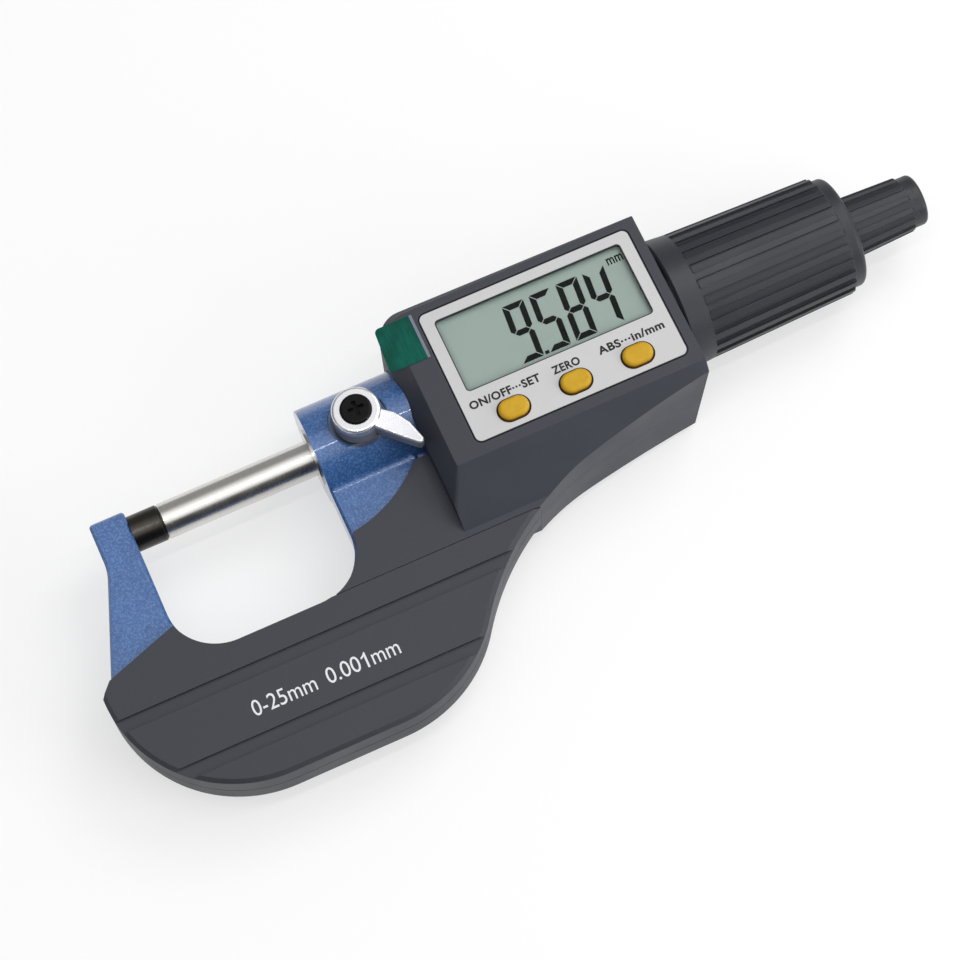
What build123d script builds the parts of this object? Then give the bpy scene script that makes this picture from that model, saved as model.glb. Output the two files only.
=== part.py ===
from build123d import *
import math
import os

# Digital outside micrometer, 0 to 25 mm, in millimetres.
# Every piece is drawn in the spindle frame: the origin is where the measuring faces meet, +X runs
# along the spindle to the ratchet, +Y to the display's upper edge and +Z out of the display.
# Each piece is then moved to the part frame, whose origin is on the housing's flat back.

# Measuring pieces
SPINDLE_D = 6.5
MEASURING_RANGE = 25.0
FACE_GAP = 0.02
TIP_LENGTH = 1.5
TIP_BEVEL = 0.25
ANVIL_LENGTH = 5.5
ANVIL_SHANK_D = 4.5
ANVIL_SHANK_LENGTH = 5.4

# Fits
RUNNING = 0.03
SEAT = 0.02
JOINT_LINE = 0.05
LOOSE = 0.15
CLEAR = 0.35

# Frame
FRAME_HALF = 3.3
CORE_HALF = 2.7
ARM_WIDTH = 6.4
ARM_STRAIGHT = 5.5
ARM_END = 3.5
ARM_CORNER = 0.65
ARM_SPREAD = 13.2
ARM_FOOT_RISE = 2.0
THROAT_WIDTH = 33.8
THROAT_DEPTH = 26.3
THROAT_RADIUS = 9.4
LEG_WIDTH = 16.2
EDGE_BREAK = 0.45
BOSS_D = 17.4
BOSS_LENGTH = 25.7
BOSS_FILLET = 1.6

# Outer outline of covers and housing
ARM_SIDE = 15.4
BOW_HEIGHT = 25.1
LEFT_RADIUS = 24.4
RIGHT_RADIUS = 25.0
RIGHT_CENTRE_BACK = 5.0
SWEEP_START = 55.0
SWEEP_KNEE = 11.2
SWEEP_KNEE_DROP = 1.5
SWEEP_MIDDLE = 24.6
SWEEP_MIDDLE_Y = -22.3
SWEEP_END_Y = -18.2

# Frame covers
COVER_HALF = 5.0
COVER_BEVEL = 0.7
COVER_WRAP = 2.0
COVER_SETBACK = 0.3
COVER_SLANT = 18.7
CHANNEL_WIDTH = 2.4
COVER_FOOT_SLOPE = 1.1
UPPER_CHANNEL_DROP = 6.3
LOWER_CHANNEL_RISE = 6.9

# Housing
LEG_MARGIN = 1.6
HOUSING_LENGTH = 49.2
HOUSING_TOP = 14.2
HOUSING_TOP_FALL = 0.9
HOUSING_FRONT = 12.5
HOUSING_BACK = 12.3
HOUSING_WALL = 1.6
END_DRAFT = 4.9
FACE_INSET = 2.8
FACE_SLOPE = 57.0
FACE_BOTTOM = -16.4
FACE_TOP = 13.0
SLOPE_FOOT_Y = -25.3
CORNER_TOP_LEFT = 4.5
FACE_CORNER_TOP_LEFT = 2.5
FACE_CORNER_SHARP = 0.3
CORNER_GROWTH = 3.0
SLOPE_SPREAD = 1.4
BACK_BOTTOM = -14.0
BACK_SLOPE = 19.4
BACK_BEVEL_LEFT = 1.2
BACK_BEVEL_TOP = 1.0
WEB_START_IN = 1.0
WEB_START_Y = -17.2
WEB_MIDDLE_IN = 8.3
WEB_MIDDLE_Y = -14.8
WEB_DROP = 0.58
WEB_MARGIN = 0.45

# Display panel and what lies under it
PANEL_WIDTH = 39.7
PANEL_HEIGHT = 25.8
PANEL_FROM_LEFT = 27.4
PANEL_Y = -1.4
PANEL_RADIUS = 1.3
PANEL_THICKNESS = 0.5
FACE_WALL = 1.8
WINDOW_WIDTH = 34.8
WINDOW_HEIGHT = 14.1
WINDOW_RISE = 3.62
WINDOW_RADIUS = 0.6
DISPLAY_MARGIN = 1.2
DISPLAY_THICKNESS = 1.2
PANE_THICKNESS = 0.4
STRIP_WIDTH = 1.4
STRIP_LENGTH = 31.0
BOARD_THICKNESS = 1.0
BOARD_INSET = 8.9
BOARD_LENGTH = 36.0
BOARD_BOTTOM = -14.6
BOARD_TOP = 11.4
BOARD_UNDER = 8.4
POST_D = 2.6
POST_ASIDE = 4.9
POST_Y = -13.1
CHIP_SIZE = 6.0
CHIP_HEIGHT = 0.9
CHIP_INSET = 10.5
CHIP_Y = 3.0

# Buttons
BUTTON_PITCH = 11.6
BUTTON_DROP = 9.55
BUTTON_LENGTH = 5.5
BUTTON_WIDTH = 3.8
BUTTON_PROUD = 1.0
BUTTON_RIM = 0.8
BUTTON_RIM_THICKNESS = 0.6
BUTTON_TRAVEL = 0.4
BUTTON_DOME = 0.7
BUTTON_FIT = 0.08
BUTTON_MARGIN = 0.25
SWITCH_D = 3.4
SWITCH_CLEARANCE = 0.1

# Film on the display and its pull tab
FILM_THICKNESS = 0.1
FILM_MARGIN = 1.6
TAB_OVERHANG = 0.4
TAB_LENGTH = 7.35
TAB_BOTTOM = 3.65
TAB_TOP = 12.2
TAB_SKEW = 0.3
TAB_RADIUS = 0.9
TAB_THICKNESS = 0.15

# Spindle lock
LOCK_FROM_MOUTH = 9.1
LEVER_D = 8.6
LEVER_SUNK = 0.6
LEVER_HEIGHT = 4.9
LEVER_EDGE = 0.6
SPOT_DEPTH = 0.9
SPOT_D = 10.4
LEVER_ANGLE = -46.5
LEVER_REACH = 12.6
LEVER_ROOT_D = 3.0
LEVER_BELLY_D = 3.74
LEVER_BELLY_AT = 6.0
LEVER_BELLY_RISE = 0.5
LEVER_SHOULDER_D = 3.2
LEVER_SHOULDER_AT = 8.6
LEVER_SHOULDER_RISE = 0.25
LEVER_TIP_RADIUS = 0.7
LEVER_TIP_DROP = 0.45
ARM_STEP = 0.4
ARM_FALL = 4.0
ARM_EDGE = 0.35
STUD_D = 4.0
STUD_FROM = 6.0
STUD_IN_LEVER = 2.9
PAD_D = 3.0
PAD_PLAY = 0.1
LOCK_SCREW_HEAD = 5.6
LOCK_SCREW_D = 2.0
LOCK_SCREW_LENGTH = 4.5
LOCK_SCREW_PROUD = 0.5
LOCK_SCREW_SEAT = 0.9
LOCK_SCREW_EDGE = 0.45
CROSS_LENGTH = 2.9
CROSS_WIDTH = 0.75
CROSS_DEPTH = 0.7

# Spindle guide, encoder and screw
BUSH_D = 10.4
BUSH_PROUD = 0.3
BUSH_LENGTH = 22.0
STATOR_D = 15.8
STATOR_THICKNESS = 1.2
ENCODER_GAP = 0.3
ROTOR_THICKNESS = 1.2
ROTOR_HUB_D = 9.6
ROTOR_HUB_LENGTH = 4.4
KEY_D = 1.1
KEYWAY_DEPTH = 0.9
KEYWAY_BEFORE = 3.2
KEYWAY_BEYOND = 3.8
KEEPER_THICKNESS = 1.5
KEEPER_HALF = 4.6
BRIDGE_HEIGHT = 6.0
STEM_BOSS_D = 16.0
STEM_BOSS_LENGTH = 9.4
STEM_BOSS_INSET = 3.9
STEM_SPIGOT_D = 12.4
STEM_SPIGOT_BORE = 8.4
STEM_D = 17.2
STEM_BORE = 14.4
STEM_REACH = 28.5
STEM_EDGE = 0.4
NUT_LENGTH = 14.0
NUT_D = 10.4
NUT_FLANGE = 2.2
ADJUSTER_LENGTH = 4.0
ADJUSTER_D = 13.6
THREAD_D = 6.4
THREAD_SPARE = 1.0

# Thimble
THIMBLE_GAP = 0.7
THIMBLE_D = 23.4
THIMBLE_TAPER = 1.55
THIMBLE_FLARE = 0.22
THIMBLE_EDGE = 0.35
COLLAR_LENGTH = 4.3
THIMBLE_GRIP = 32.2
RING_LENGTH = 2.3
RING_D = 20.4
RING_ROUND = 0.9
THIMBLE_BORE = 18.2
CHANNELS = 24
CHANNEL_SHARE = 0.57
GROOVE_DEPTH = 0.6
LEDGE_SLOPE = 0.35
END_WALL = 2.9
CORE_FLANGE = 1.6
CORE_HUB_D = 9.0
CONE_LENGTH = 4.6
CONE_SMALL_D = 5.2

# Ratchet
KNOB_GAP = 0.35
KNOB_D = 11.1
KNOB_TAPER = 2.2
KNOB_RIBBED_LENGTH = 12.0
KNOB_RING_LENGTH = 2.6
KNOB_RING_D = 9.4
KNOB_ROUND = 0.8
KNOB_BORE = 7.8
KNOB_END_WALL = 2.2
KNOB_CHANNELS = 14
KNOB_GROOVE_DEPTH = 0.42
POST_DIAMETER = 3.2
RATCHET_DISC = 1.3
RATCHET_TEETH = 12
TOOTH_HEIGHT = 0.5
TOOTH_WIDTH = 0.95
TOOTH_GAP = 0.06
PUSHER_LENGTH = 2.0
SPRING_D = 5.9
SPRING_WIRE = 0.5
SPRING_TURNS = 5
RATCHET_SCREW_HEAD = 4.4
RATCHET_SCREW_SEAT = 1.0
RATCHET_SCREW_D = 1.8
RATCHET_SCREW_LENGTH = 19.0
RATCHET_SLOT_WIDTH = 0.8
RATCHET_SLOT_DEPTH = 0.45

# Battery and its cap
BATTERY_D = 11.6
BATTERY_THICKNESS = 5.4
BATTERY_FROM_LEFT = 24.9
BATTERY_Y = -1.2
BATTERY_CAN_EDGE = 0.4
BATTERY_STEP = 0.6
BATTERY_POLE_D = 9.2
WELL_WALL = 1.4
WELL_LOW = 1.0
CAP_D = 14.6
CAP_THICKNESS = 1.4
CAP_SUNK = 0.15
CAP_EDGE = 0.3
CAP_SLOT_LENGTH = 9.0
CAP_SLOT_WIDTH = 1.6
CAP_SLOT_DEPTH = 0.7
CAP_LUG = 1.2
CAP_LUG_HEIGHT = 0.6
CAP_LUG_LIFT = 0.1
CAP_LUG_MARGIN = 6.0
CAP_LUG_ANGLE = 40.0
CAP_TURN = 60.0
CONTACT_THICKNESS = 0.3
CONTACT_WIDTH = 2.4
CONTACT_SHIFT = 1.4
CONTACT_FROM_Y = -3.0
CONTACT_RISER_Y = 9.4
SIDE_CONTACT_ANGLE = 75.0
SIDE_CONTACT_FROM = -9.9

# Housing screws
UPPER_SCREW_INSET = 5.7
UPPER_SCREW_Y = 10.9
RIGHT_SCREW_INSET = 5.3
LOWER_SCREW_INSET = 5.1
LOWER_SCREW_Y = -17.5
BOTTOM_SCREW_REACH = 32.4
BOTTOM_SCREW_RISE = 0.7
SLOPE_SCREW_BACK = 10.2
SCREW_D = 2.0
SCREW_HEAD_D = 3.4
SCREW_HEAD_HEIGHT = 1.4
SCREW_SUNK = 0.4
SCREW_REACH = 4.0
SCREW_HOLE_EXTRA = 0.7
SCREW_BOSS_D = 4.4
SCREW_POST_D = 5.4
SCREW_CROSS = 2.0

# Tools for cutting and joining
FAR = 160.0
OVERLAP = 1.0

# Frame, covers and housing sides that follow
SPINDLE_R = SPINDLE_D / 2
BOSS_FROM = THROAT_WIDTH - ANVIL_LENGTH
BOSS_TO = BOSS_FROM + BOSS_LENGTH
BOSS_R = BOSS_D / 2
CREASE_Y = -math.sqrt((BOSS_R + BOSS_FILLET) ** 2 - (FRAME_HALF + BOSS_FILLET) ** 2)
ARM_LEFT = -ANVIL_LENGTH - ARM_WIDTH
ARM_FOOT = (-ANVIL_LENGTH - ARM_SPREAD, -THROAT_DEPTH + ARM_FOOT_RISE)
LEG_RIGHT = BOSS_FROM + LEG_WIDTH
SEAM_Y = -THROAT_DEPTH - JOINT_LINE
OUTER_LEFT = -ANVIL_LENGTH - ARM_SIDE
OUTER_BOTTOM = -THROAT_DEPTH - BOW_HEIGHT
RIGHT_CENTRE_X = BOSS_FROM - RIGHT_CENTRE_BACK
CHANNEL_CENTRES = (-THROAT_DEPTH - UPPER_CHANNEL_DROP, OUTER_BOTTOM + LOWER_CHANNEL_RISE)
HOUSING_LEFT = LEG_RIGHT + LEG_MARGIN
HOUSING_RIGHT = HOUSING_LEFT + HOUSING_LENGTH
SWEEP_POINTS = (
    (HOUSING_LEFT + SWEEP_KNEE, -THROAT_DEPTH - SWEEP_KNEE_DROP),
    (HOUSING_LEFT + SWEEP_MIDDLE, SWEEP_MIDDLE_Y),
)
FACE_LEFT = HOUSING_LEFT + FACE_INSET
WEB_START = (BOSS_FROM + WEB_START_IN, WEB_START_Y)
WEB_VIA = (BOSS_FROM + WEB_MIDDLE_IN, WEB_MIDDLE_Y)
WEB_END_Y = CREASE_Y - WEB_DROP
SCREW_PLACES = (
    (HOUSING_LEFT + UPPER_SCREW_INSET, UPPER_SCREW_Y, HOUSING_BACK),
    (HOUSING_RIGHT - RIGHT_SCREW_INSET, UPPER_SCREW_Y, HOUSING_BACK),
    (HOUSING_LEFT + LOWER_SCREW_INSET, LOWER_SCREW_Y, SLOPE_SCREW_BACK),
    (HOUSING_LEFT + BOTTOM_SCREW_REACH, LOWER_SCREW_Y + BOTTOM_SCREW_RISE, SLOPE_SCREW_BACK),
)

# Display, buttons and board that follow
PANEL_X = HOUSING_LEFT + PANEL_FROM_LEFT
PANEL_CENTRE = (PANEL_X, PANEL_Y)
PANEL_UNDER = HOUSING_FRONT - PANEL_THICKNESS
FACE_UNDER = HOUSING_FRONT - FACE_WALL
WINDOW_CENTRE = (PANEL_X, PANEL_Y + WINDOW_RISE)
DISPLAY_TOP = PANEL_UNDER - PANE_THICKNESS - 2 * SEAT
BUTTON_X = PANEL_X
BUTTON_Y = PANEL_Y - BUTTON_DROP
TAB_LEFT = HOUSING_LEFT - TAB_OVERHANG
TAB_RIGHT = HOUSING_LEFT + TAB_LENGTH
BOARD_LEFT = HOUSING_LEFT + BOARD_INSET
BOARD_RIGHT = BOARD_LEFT + BOARD_LENGTH
BOARD_FRONT = BOARD_UNDER + BOARD_THICKNESS
CHIP_CENTRE = (BOARD_LEFT + CHIP_INSET, CHIP_Y)

# Spindle lock that follows
LOCK_X = BOSS_FROM + LOCK_FROM_MOUTH
LEVER_BOTTOM = BOSS_R - LEVER_SUNK
LEVER_TOP = LEVER_BOTTOM + LEVER_HEIGHT
LEVER_SEAT = LEVER_TOP - LOCK_SCREW_SEAT
ARM_BOTTOM = BOSS_R + CLEAR
ARM_TOP = LEVER_TOP - ARM_STEP
PAD_TOP = STUD_FROM - PAD_PLAY

# Encoder, stem and spindle that follow
ROTOR_FROM = BOSS_TO + STATOR_THICKNESS + ENCODER_GAP
KEY_X = ROTOR_FROM + ROTOR_HUB_LENGTH / 2
KEYWAY_FROM = KEY_X - MEASURING_RANGE - KEYWAY_BEFORE
KEYWAY_TO = KEY_X + KEYWAY_BEYOND
KEEPER_FROM = ROTOR_FROM + ROTOR_HUB_LENGTH + ENCODER_GAP
BRIDGE_TOP = -STATOR_D / 2 - ENCODER_GAP
STEM_BOSS_TO = HOUSING_RIGHT - STEM_BOSS_INSET
STEM_BOSS_FROM = STEM_BOSS_TO - STEM_BOSS_LENGTH
THIMBLE_START = HOUSING_RIGHT + THIMBLE_GAP
STEM_END = THIMBLE_START + STEM_REACH
THREAD_FROM = STEM_END - NUT_LENGTH - MEASURING_RANGE - THREAD_SPARE
RIBBED_END = THIMBLE_START + THIMBLE_GRIP
THIMBLE_END = RIBBED_END + RING_LENGTH
CONE_FROM = THIMBLE_END - CONE_LENGTH

# Ratchet that follows
KNOB_FROM = THIMBLE_END + KNOB_GAP
KNOB_RIBBED_END = KNOB_FROM + KNOB_RIBBED_LENGTH
KNOB_END = KNOB_RIBBED_END + KNOB_RING_LENGTH
DRIVE_FACE = THIMBLE_END + SEAT + RATCHET_DISC
PUSHER_FROM = DRIVE_FACE + 2 * TOOTH_HEIGHT + TOOTH_GAP
POST_END = KNOB_END - RATCHET_SCREW_SEAT + JOINT_LINE

# Battery and cap that follow
BATTERY_CENTRE = (HOUSING_LEFT + BATTERY_FROM_LEFT, BATTERY_Y)
CONTACT_X = HOUSING_LEFT + BATTERY_FROM_LEFT - CONTACT_SHIFT
CAP_BACK = -HOUSING_BACK + CAP_SUNK
CAP_INNER = CAP_BACK + CAP_THICKNESS

# Part frame
REACH = 72.0
TO_PART_FRAME = Location((-REACH, 0, HOUSING_BACK))


def turned(*profile):
    """A turned solid about the spindle axis, from its half profile of (x, radius) points."""
    return revolve(Polygon(*profile, align=None), Axis.X)


def tube(start, end, outer_d, bore_d=0.0):
    """A plain round bar or tube along the spindle axis."""
    inner, outer = bore_d / 2, outer_d / 2
    return turned((start, inner), (end, inner), (end, outer), (start, outer))


def upright(x, y, low, high, diameter):
    """A round bar along Z."""
    return Pos(x, y, (low + high) / 2) * Cylinder(diameter / 2, high - low)


def slab(sketch, low, high):
    """A flat outline made solid between two heights."""
    return extrude(Pos(0, 0, low) * sketch, high - low, dir=(0, 0, 1))


def box_sketch(left, bottom, right, top):
    """A rectangle from its four sides."""
    return Pos((left + right) / 2, (bottom + top) / 2) * Rectangle(right - left, top - bottom)


def mirrored(shape):
    """The same shape on the other side of the parting plane."""
    return mirror(shape, about=Plane.XY)


# Outlines

def outer_outline():
    """Everything inside the outer wall of covers and housing, open towards the top."""
    turn = math.radians(SWEEP_START)
    centre_y = OUTER_BOTTOM + RIGHT_RADIUS
    sweep_from = (RIGHT_CENTRE_X + RIGHT_RADIUS * math.sin(turn), centre_y - RIGHT_RADIUS * math.cos(turn))
    lift = RIGHT_RADIUS * (1 - math.cos(turn / 2))
    right_mid = (RIGHT_CENTRE_X + RIGHT_RADIUS * math.sin(turn / 2), OUTER_BOTTOM + lift)
    left_centre = (OUTER_LEFT + LEFT_RADIUS, OUTER_BOTTOM + LEFT_RADIUS)
    diagonal = LEFT_RADIUS * math.sqrt(0.5)
    left_mid = (left_centre[0] - diagonal, left_centre[1] - diagonal)
    sweep_to = (HOUSING_RIGHT, SWEEP_END_Y)
    first = TangentArc(sweep_from, SWEEP_POINTS[0], tangent=(math.cos(turn), math.sin(turn)))
    second = TangentArc(*SWEEP_POINTS, tangent=first % 1)
    edges = [
        Line((OUTER_LEFT, FAR), (OUTER_LEFT, left_centre[1])),
        ThreePointArc((OUTER_LEFT, left_centre[1]), left_mid, (left_centre[0], OUTER_BOTTOM)),
        Line((left_centre[0], OUTER_BOTTOM), (RIGHT_CENTRE_X, OUTER_BOTTOM)),
        ThreePointArc((RIGHT_CENTRE_X, OUTER_BOTTOM), right_mid, sweep_from),
        first,
        second,
        TangentArc(SWEEP_POINTS[1], sweep_to, tangent=second % 1),
        Line(sweep_to, (HOUSING_RIGHT, FAR)),
        Line((HOUSING_RIGHT, FAR), (OUTER_LEFT, FAR)),
    ]
    return make_face(edges)


def throat(grow=0.0):
    """The measuring space: a U open at the top."""
    left, right = -ANVIL_LENGTH - grow, BOSS_FROM + grow
    bottom = -THROAT_DEPTH - grow
    shape = box_sketch(left, bottom, right, FAR)
    low = shape.vertices().sort_by(Axis.Y)[:2]
    return fillet(low, THROAT_RADIUS + grow)


def covered_area(shrink=0.0):
    """Where the frame covers lie: below a slanted line on the arm and below the seam."""
    slope = math.tan(math.radians(COVER_SLANT))
    foot_x, foot_y = ARM_FOOT
    right_x = -ANVIL_LENGTH + THROAT_RADIUS
    corner = OUTER_LEFT - JOINT_LINE
    outline = Polygon(
        (corner, foot_y - (foot_x - corner) * COVER_FOOT_SLOPE - shrink),
        (foot_x, foot_y - shrink),
        (right_x, foot_y + (right_x - foot_x) * slope - shrink),
        (right_x, SEAM_Y - shrink),
        (FAR, SEAM_Y - shrink),
        (FAR, -FAR),
        (corner, -FAR),
        align=None,
    )
    return outline - throat(COVER_SETBACK)


def flange_area(shrink=0.0):
    """The housing's flange over the frame's leg: right of the painted web, down to the seam."""
    web_end = (LEG_RIGHT - OVERLAP, WEB_END_Y)
    left, right = BOSS_FROM - THROAT_RADIUS, HOUSING_LEFT + 2 * OVERLAP
    edges = [
        ThreePointArc(WEB_START, WEB_VIA, web_end),
        Polyline(web_end, (right, WEB_END_Y), (right, SEAM_Y + shrink), (left, SEAM_Y + shrink)),
        Polyline((left, SEAM_Y + shrink), (left, WEB_START_Y), WEB_START),
    ]
    return make_face(edges) - throat(WEB_MARGIN)


def frame_outline():
    """The C of the frame: arm, bow and leg."""
    core = offset(outer_outline(), -COVER_WRAP - JOINT_LINE)
    seam = ARM_FOOT[1] - OVERLAP
    bow = core & box_sketch(OUTER_LEFT, OUTER_BOTTOM, LEG_RIGHT, seam)
    top, left, right = ARM_END, ARM_LEFT, -ANVIL_LENGTH + THROAT_RADIUS
    wall = OUTER_LEFT + COVER_WRAP + JOINT_LINE
    arm = Polygon(
        (right, top),
        (left, top),
        (left, -ARM_STRAIGHT),
        ARM_FOOT,
        (wall, seam),
        (wall + OVERLAP, -THROAT_DEPTH - OVERLAP),
        (right, -THROAT_DEPTH - OVERLAP),
        align=None,
    )
    arm = fillet(arm.vertices().sort_by_distance((left, -ARM_STRAIGHT))[0], THROAT_RADIUS)
    leg = box_sketch(BOSS_FROM - THROAT_RADIUS, -THROAT_DEPTH - OVERLAP, LEG_RIGHT, -SPINDLE_R)
    outline = bow + arm + leg - throat()
    return fillet(outline.vertices().sort_by(Axis.Y)[-2:], ARM_CORNER)


# Frame and anvil

def frame():
    plate = slab(frame_outline(), -FRAME_HALF, FRAME_HALF)
    plate = chamfer(plate.edges().filter_by(Plane.XY), EDGE_BREAK)
    body = plate + tube(BOSS_FROM, BOSS_TO, BOSS_D)
    crease = [
        edge for edge in body.edges().filter_by(Axis.X)
        if abs(abs(edge.center().Z) - FRAME_HALF) < SEAT
        and -BOSS_R < edge.center().Y < -SPINDLE_R and edge.length > LEG_WIDTH / 2
    ]
    body = fillet(crease, BOSS_FILLET)
    covered = covered_area(-JOINT_LINE) + flange_area(-JOINT_LINE)
    body -= slab(covered, CORE_HALF, FAR) + slab(covered, -FAR, -CORE_HALF)
    body += frame_tail()
    body -= tube(BOSS_FROM - OVERLAP, BOSS_TO + OVERLAP, BUSH_D + 2 * SEAT)
    body -= tube(-ANVIL_LENGTH - ANVIL_SHANK_LENGTH, 0.0, ANVIL_SHANK_D + 2 * SEAT)
    body -= upright(LOCK_X, 0, BOSS_R - SPOT_DEPTH, FAR, SPOT_D)
    return body - upright(LOCK_X, 0, 0, FAR, STUD_D + 2 * RUNNING)


def tail_bar(grow=0.0):
    """The straight bar that carries the rear end of the frame."""
    low, high = BRIDGE_TOP - BRIDGE_HEIGHT - grow, BRIDGE_TOP + grow
    bar = box_sketch(LEG_RIGHT - OVERLAP, low, STEM_BOSS_TO + grow, high)
    return slab(bar, -CORE_HALF - grow, CORE_HALF + grow)


def frame_tail():
    """The bar inside the housing, with the rotor's keeper and the boss that holds the stem."""
    join = BRIDGE_TOP - OVERLAP
    tail = tail_bar()
    tail += slab(box_sketch(STEM_BOSS_FROM, join, STEM_BOSS_TO, 0), -CORE_HALF, CORE_HALF)
    tail += tube(STEM_BOSS_FROM, STEM_BOSS_TO, STEM_BOSS_D)
    keeper_to = KEEPER_FROM + KEEPER_THICKNESS
    tail += slab(box_sketch(KEEPER_FROM, join, keeper_to, KEEPER_HALF), -KEEPER_HALF, KEEPER_HALF)
    tail -= tube(KEEPER_FROM - OVERLAP, keeper_to + OVERLAP, SPINDLE_D + 2 * CLEAR)
    return tail - tube(STEM_BOSS_FROM - OVERLAP, STEM_BOSS_TO + OVERLAP, STEM_SPIGOT_D + 2 * SEAT)


def anvil():
    collar_end = -FACE_GAP / 2 - TIP_LENGTH
    shank, collar = ANVIL_SHANK_D / 2, SPINDLE_R
    root = -ANVIL_LENGTH
    tail = root - ANVIL_SHANK_LENGTH + LOOSE
    return turned((tail, 0), (collar_end, 0), (collar_end, collar), (root, collar), (root, shank), (tail, shank))


def measuring_tip(near, far):
    """A carbide tip whose measuring face, at near, has a small bevel."""
    step = math.copysign(TIP_BEVEL, far - near)
    return turned((near, 0), (far, 0), (far, SPINDLE_R), (near + step, SPINDLE_R), (near, SPINDLE_R - TIP_BEVEL))


def anvil_tip():
    return measuring_tip(-FACE_GAP / 2, -FACE_GAP / 2 - TIP_LENGTH)


def spindle_tip():
    return measuring_tip(FACE_GAP / 2, FACE_GAP / 2 + TIP_LENGTH)


# Frame covers

def cover():
    """The front cover: a plate whose rim wraps the bow down to the parting plane."""
    rim_top = COVER_HALF - COVER_BEVEL
    outline = outer_outline() & covered_area(JOINT_LINE)
    bevelled = slab(outer_outline(), JOINT_LINE, rim_top)
    bevelled += extrude(Pos(0, 0, rim_top) * outer_outline(), COVER_BEVEL, dir=(0, 0, 1), taper=45)
    body = slab(outline, JOINT_LINE, COVER_HALF) & bevelled
    pocket = offset(frame_outline() + throat(), JOINT_LINE)
    body -= slab(pocket, -OVERLAP, CORE_HALF + JOINT_LINE)
    for centre in CHANNEL_CENTRES:
        channel = box_sketch(-FAR, centre - CHANNEL_WIDTH / 2, FAR, centre + CHANNEL_WIDTH / 2)
        body -= slab(channel, rim_top, FAR)
    return body


# Housing

def housing_outline():
    """The housing's vertical outer wall in plan."""
    left, right = HOUSING_LEFT, HOUSING_RIGHT
    room = Polygon(
        (left, SEAM_Y + JOINT_LINE),
        (right, SEAM_Y + JOINT_LINE),
        (right, HOUSING_TOP - HOUSING_TOP_FALL),
        (left, HOUSING_TOP),
        align=None,
    )
    room = fillet(room.vertices().sort_by_distance((left, HOUSING_TOP))[0], CORNER_TOP_LEFT)
    return outer_outline() & room


def tapered_block(wide, wide_z, narrow, narrow_z, inset, radii):
    """A block between two rectangles (left, bottom, right, top), with every wall moved in by inset.

    It goes on straight from the wide end to the parting plane. The narrow end moves along the slopes,
    and radii are those of its upper and lower left corners."""
    share = inset / abs(narrow_z - wide_z)
    slide = [n + (w - n) * share for n, w in zip(narrow, wide)]
    end_z = narrow_z - math.copysign(inset, narrow_z - wide_z)
    levels = []
    for height, (left, bottom, right, top), grow in ((wide_z, wide, CORNER_GROWTH), (end_z, slide, 1.0)):
        area = box_sketch(left + inset, bottom + inset * SLOPE_SPREAD, right, top - inset * SLOPE_SPREAD)
        area = fillet(area.vertices().sort_by_distance((left, top))[0], radii[0] * grow)
        area = fillet(area.vertices().sort_by_distance((left, bottom))[0], radii[1] * grow)
        levels.append(Pos(0, 0, height) * area)
    return loft(levels) + extrude(levels[0], abs(wide_z), dir=(0, 0, -math.copysign(1.0, wide_z)))


def front_cap(inset=0.0):
    """The space under the front face and its sloped sides."""
    rise = HOUSING_FRONT - COVER_HALF
    right = HOUSING_RIGHT + OVERLAP - inset
    wide_left = FACE_LEFT - rise / math.tan(math.radians(FACE_SLOPE))
    wide = (wide_left, SLOPE_FOOT_Y, right, FACE_TOP + rise)
    narrow = (FACE_LEFT, FACE_BOTTOM, right, FACE_TOP)
    radii = (FACE_CORNER_TOP_LEFT, FACE_CORNER_SHARP)
    return tapered_block(wide, COVER_HALF - JOINT_LINE, narrow, HOUSING_FRONT, inset, radii)


def back_cap(inset=0.0):
    """The space inside the back face and its bevels."""
    rise = HOUSING_BACK - COVER_HALF
    fall = rise / math.tan(math.radians(BACK_SLOPE))
    right = HOUSING_RIGHT + OVERLAP - inset
    narrow = (HOUSING_LEFT + BACK_BEVEL_LEFT, BACK_BOTTOM, right, HOUSING_TOP - BACK_BEVEL_TOP)
    wide = (HOUSING_LEFT + BACK_BEVEL_LEFT - rise, BACK_BOTTOM - fall, right, HOUSING_TOP - BACK_BEVEL_TOP + rise)
    radii = (FACE_CORNER_TOP_LEFT, FACE_CORNER_TOP_LEFT)
    return tapered_block(wide, -COVER_HALF + JOINT_LINE, narrow, -HOUSING_BACK, inset, radii)


def end_wedge(shift=0.0):
    """What the drafted right-hand end wall cuts away."""
    lean = math.tan(math.radians(END_DRAFT))
    top_x = HOUSING_RIGHT - shift
    profile = Polygon(
        (top_x, HOUSING_FRONT),
        (top_x - lean * 2 * HOUSING_FRONT, -HOUSING_FRONT),
        (FAR, -HOUSING_FRONT),
        (FAR, HOUSING_FRONT),
        align=None,
    )
    return extrude(Plane.XZ * profile, FAR, both=True)


def panel_sketch(grow=0.0):
    width, height = PANEL_WIDTH + 2 * grow, PANEL_HEIGHT + 2 * grow
    return Pos(*PANEL_CENTRE) * RectangleRounded(width, height, PANEL_RADIUS + grow)


def window_sketch(grow=0.0):
    width, height = WINDOW_WIDTH + 2 * grow, WINDOW_HEIGHT + 2 * grow
    return Pos(*WINDOW_CENTRE) * RectangleRounded(width, height, WINDOW_RADIUS + grow)


def button_places():
    return [(BUTTON_X + step * BUTTON_PITCH, BUTTON_Y) for step in (-1, 0, 1)]


def post_places():
    """Posts beside the first button and midway between the buttons."""
    first = BUTTON_X - BUTTON_PITCH - POST_ASIDE
    return [(first, POST_Y), (BUTTON_X - BUTTON_PITCH / 2, POST_Y), (BUTTON_X + BUTTON_PITCH / 2, POST_Y)]


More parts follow.
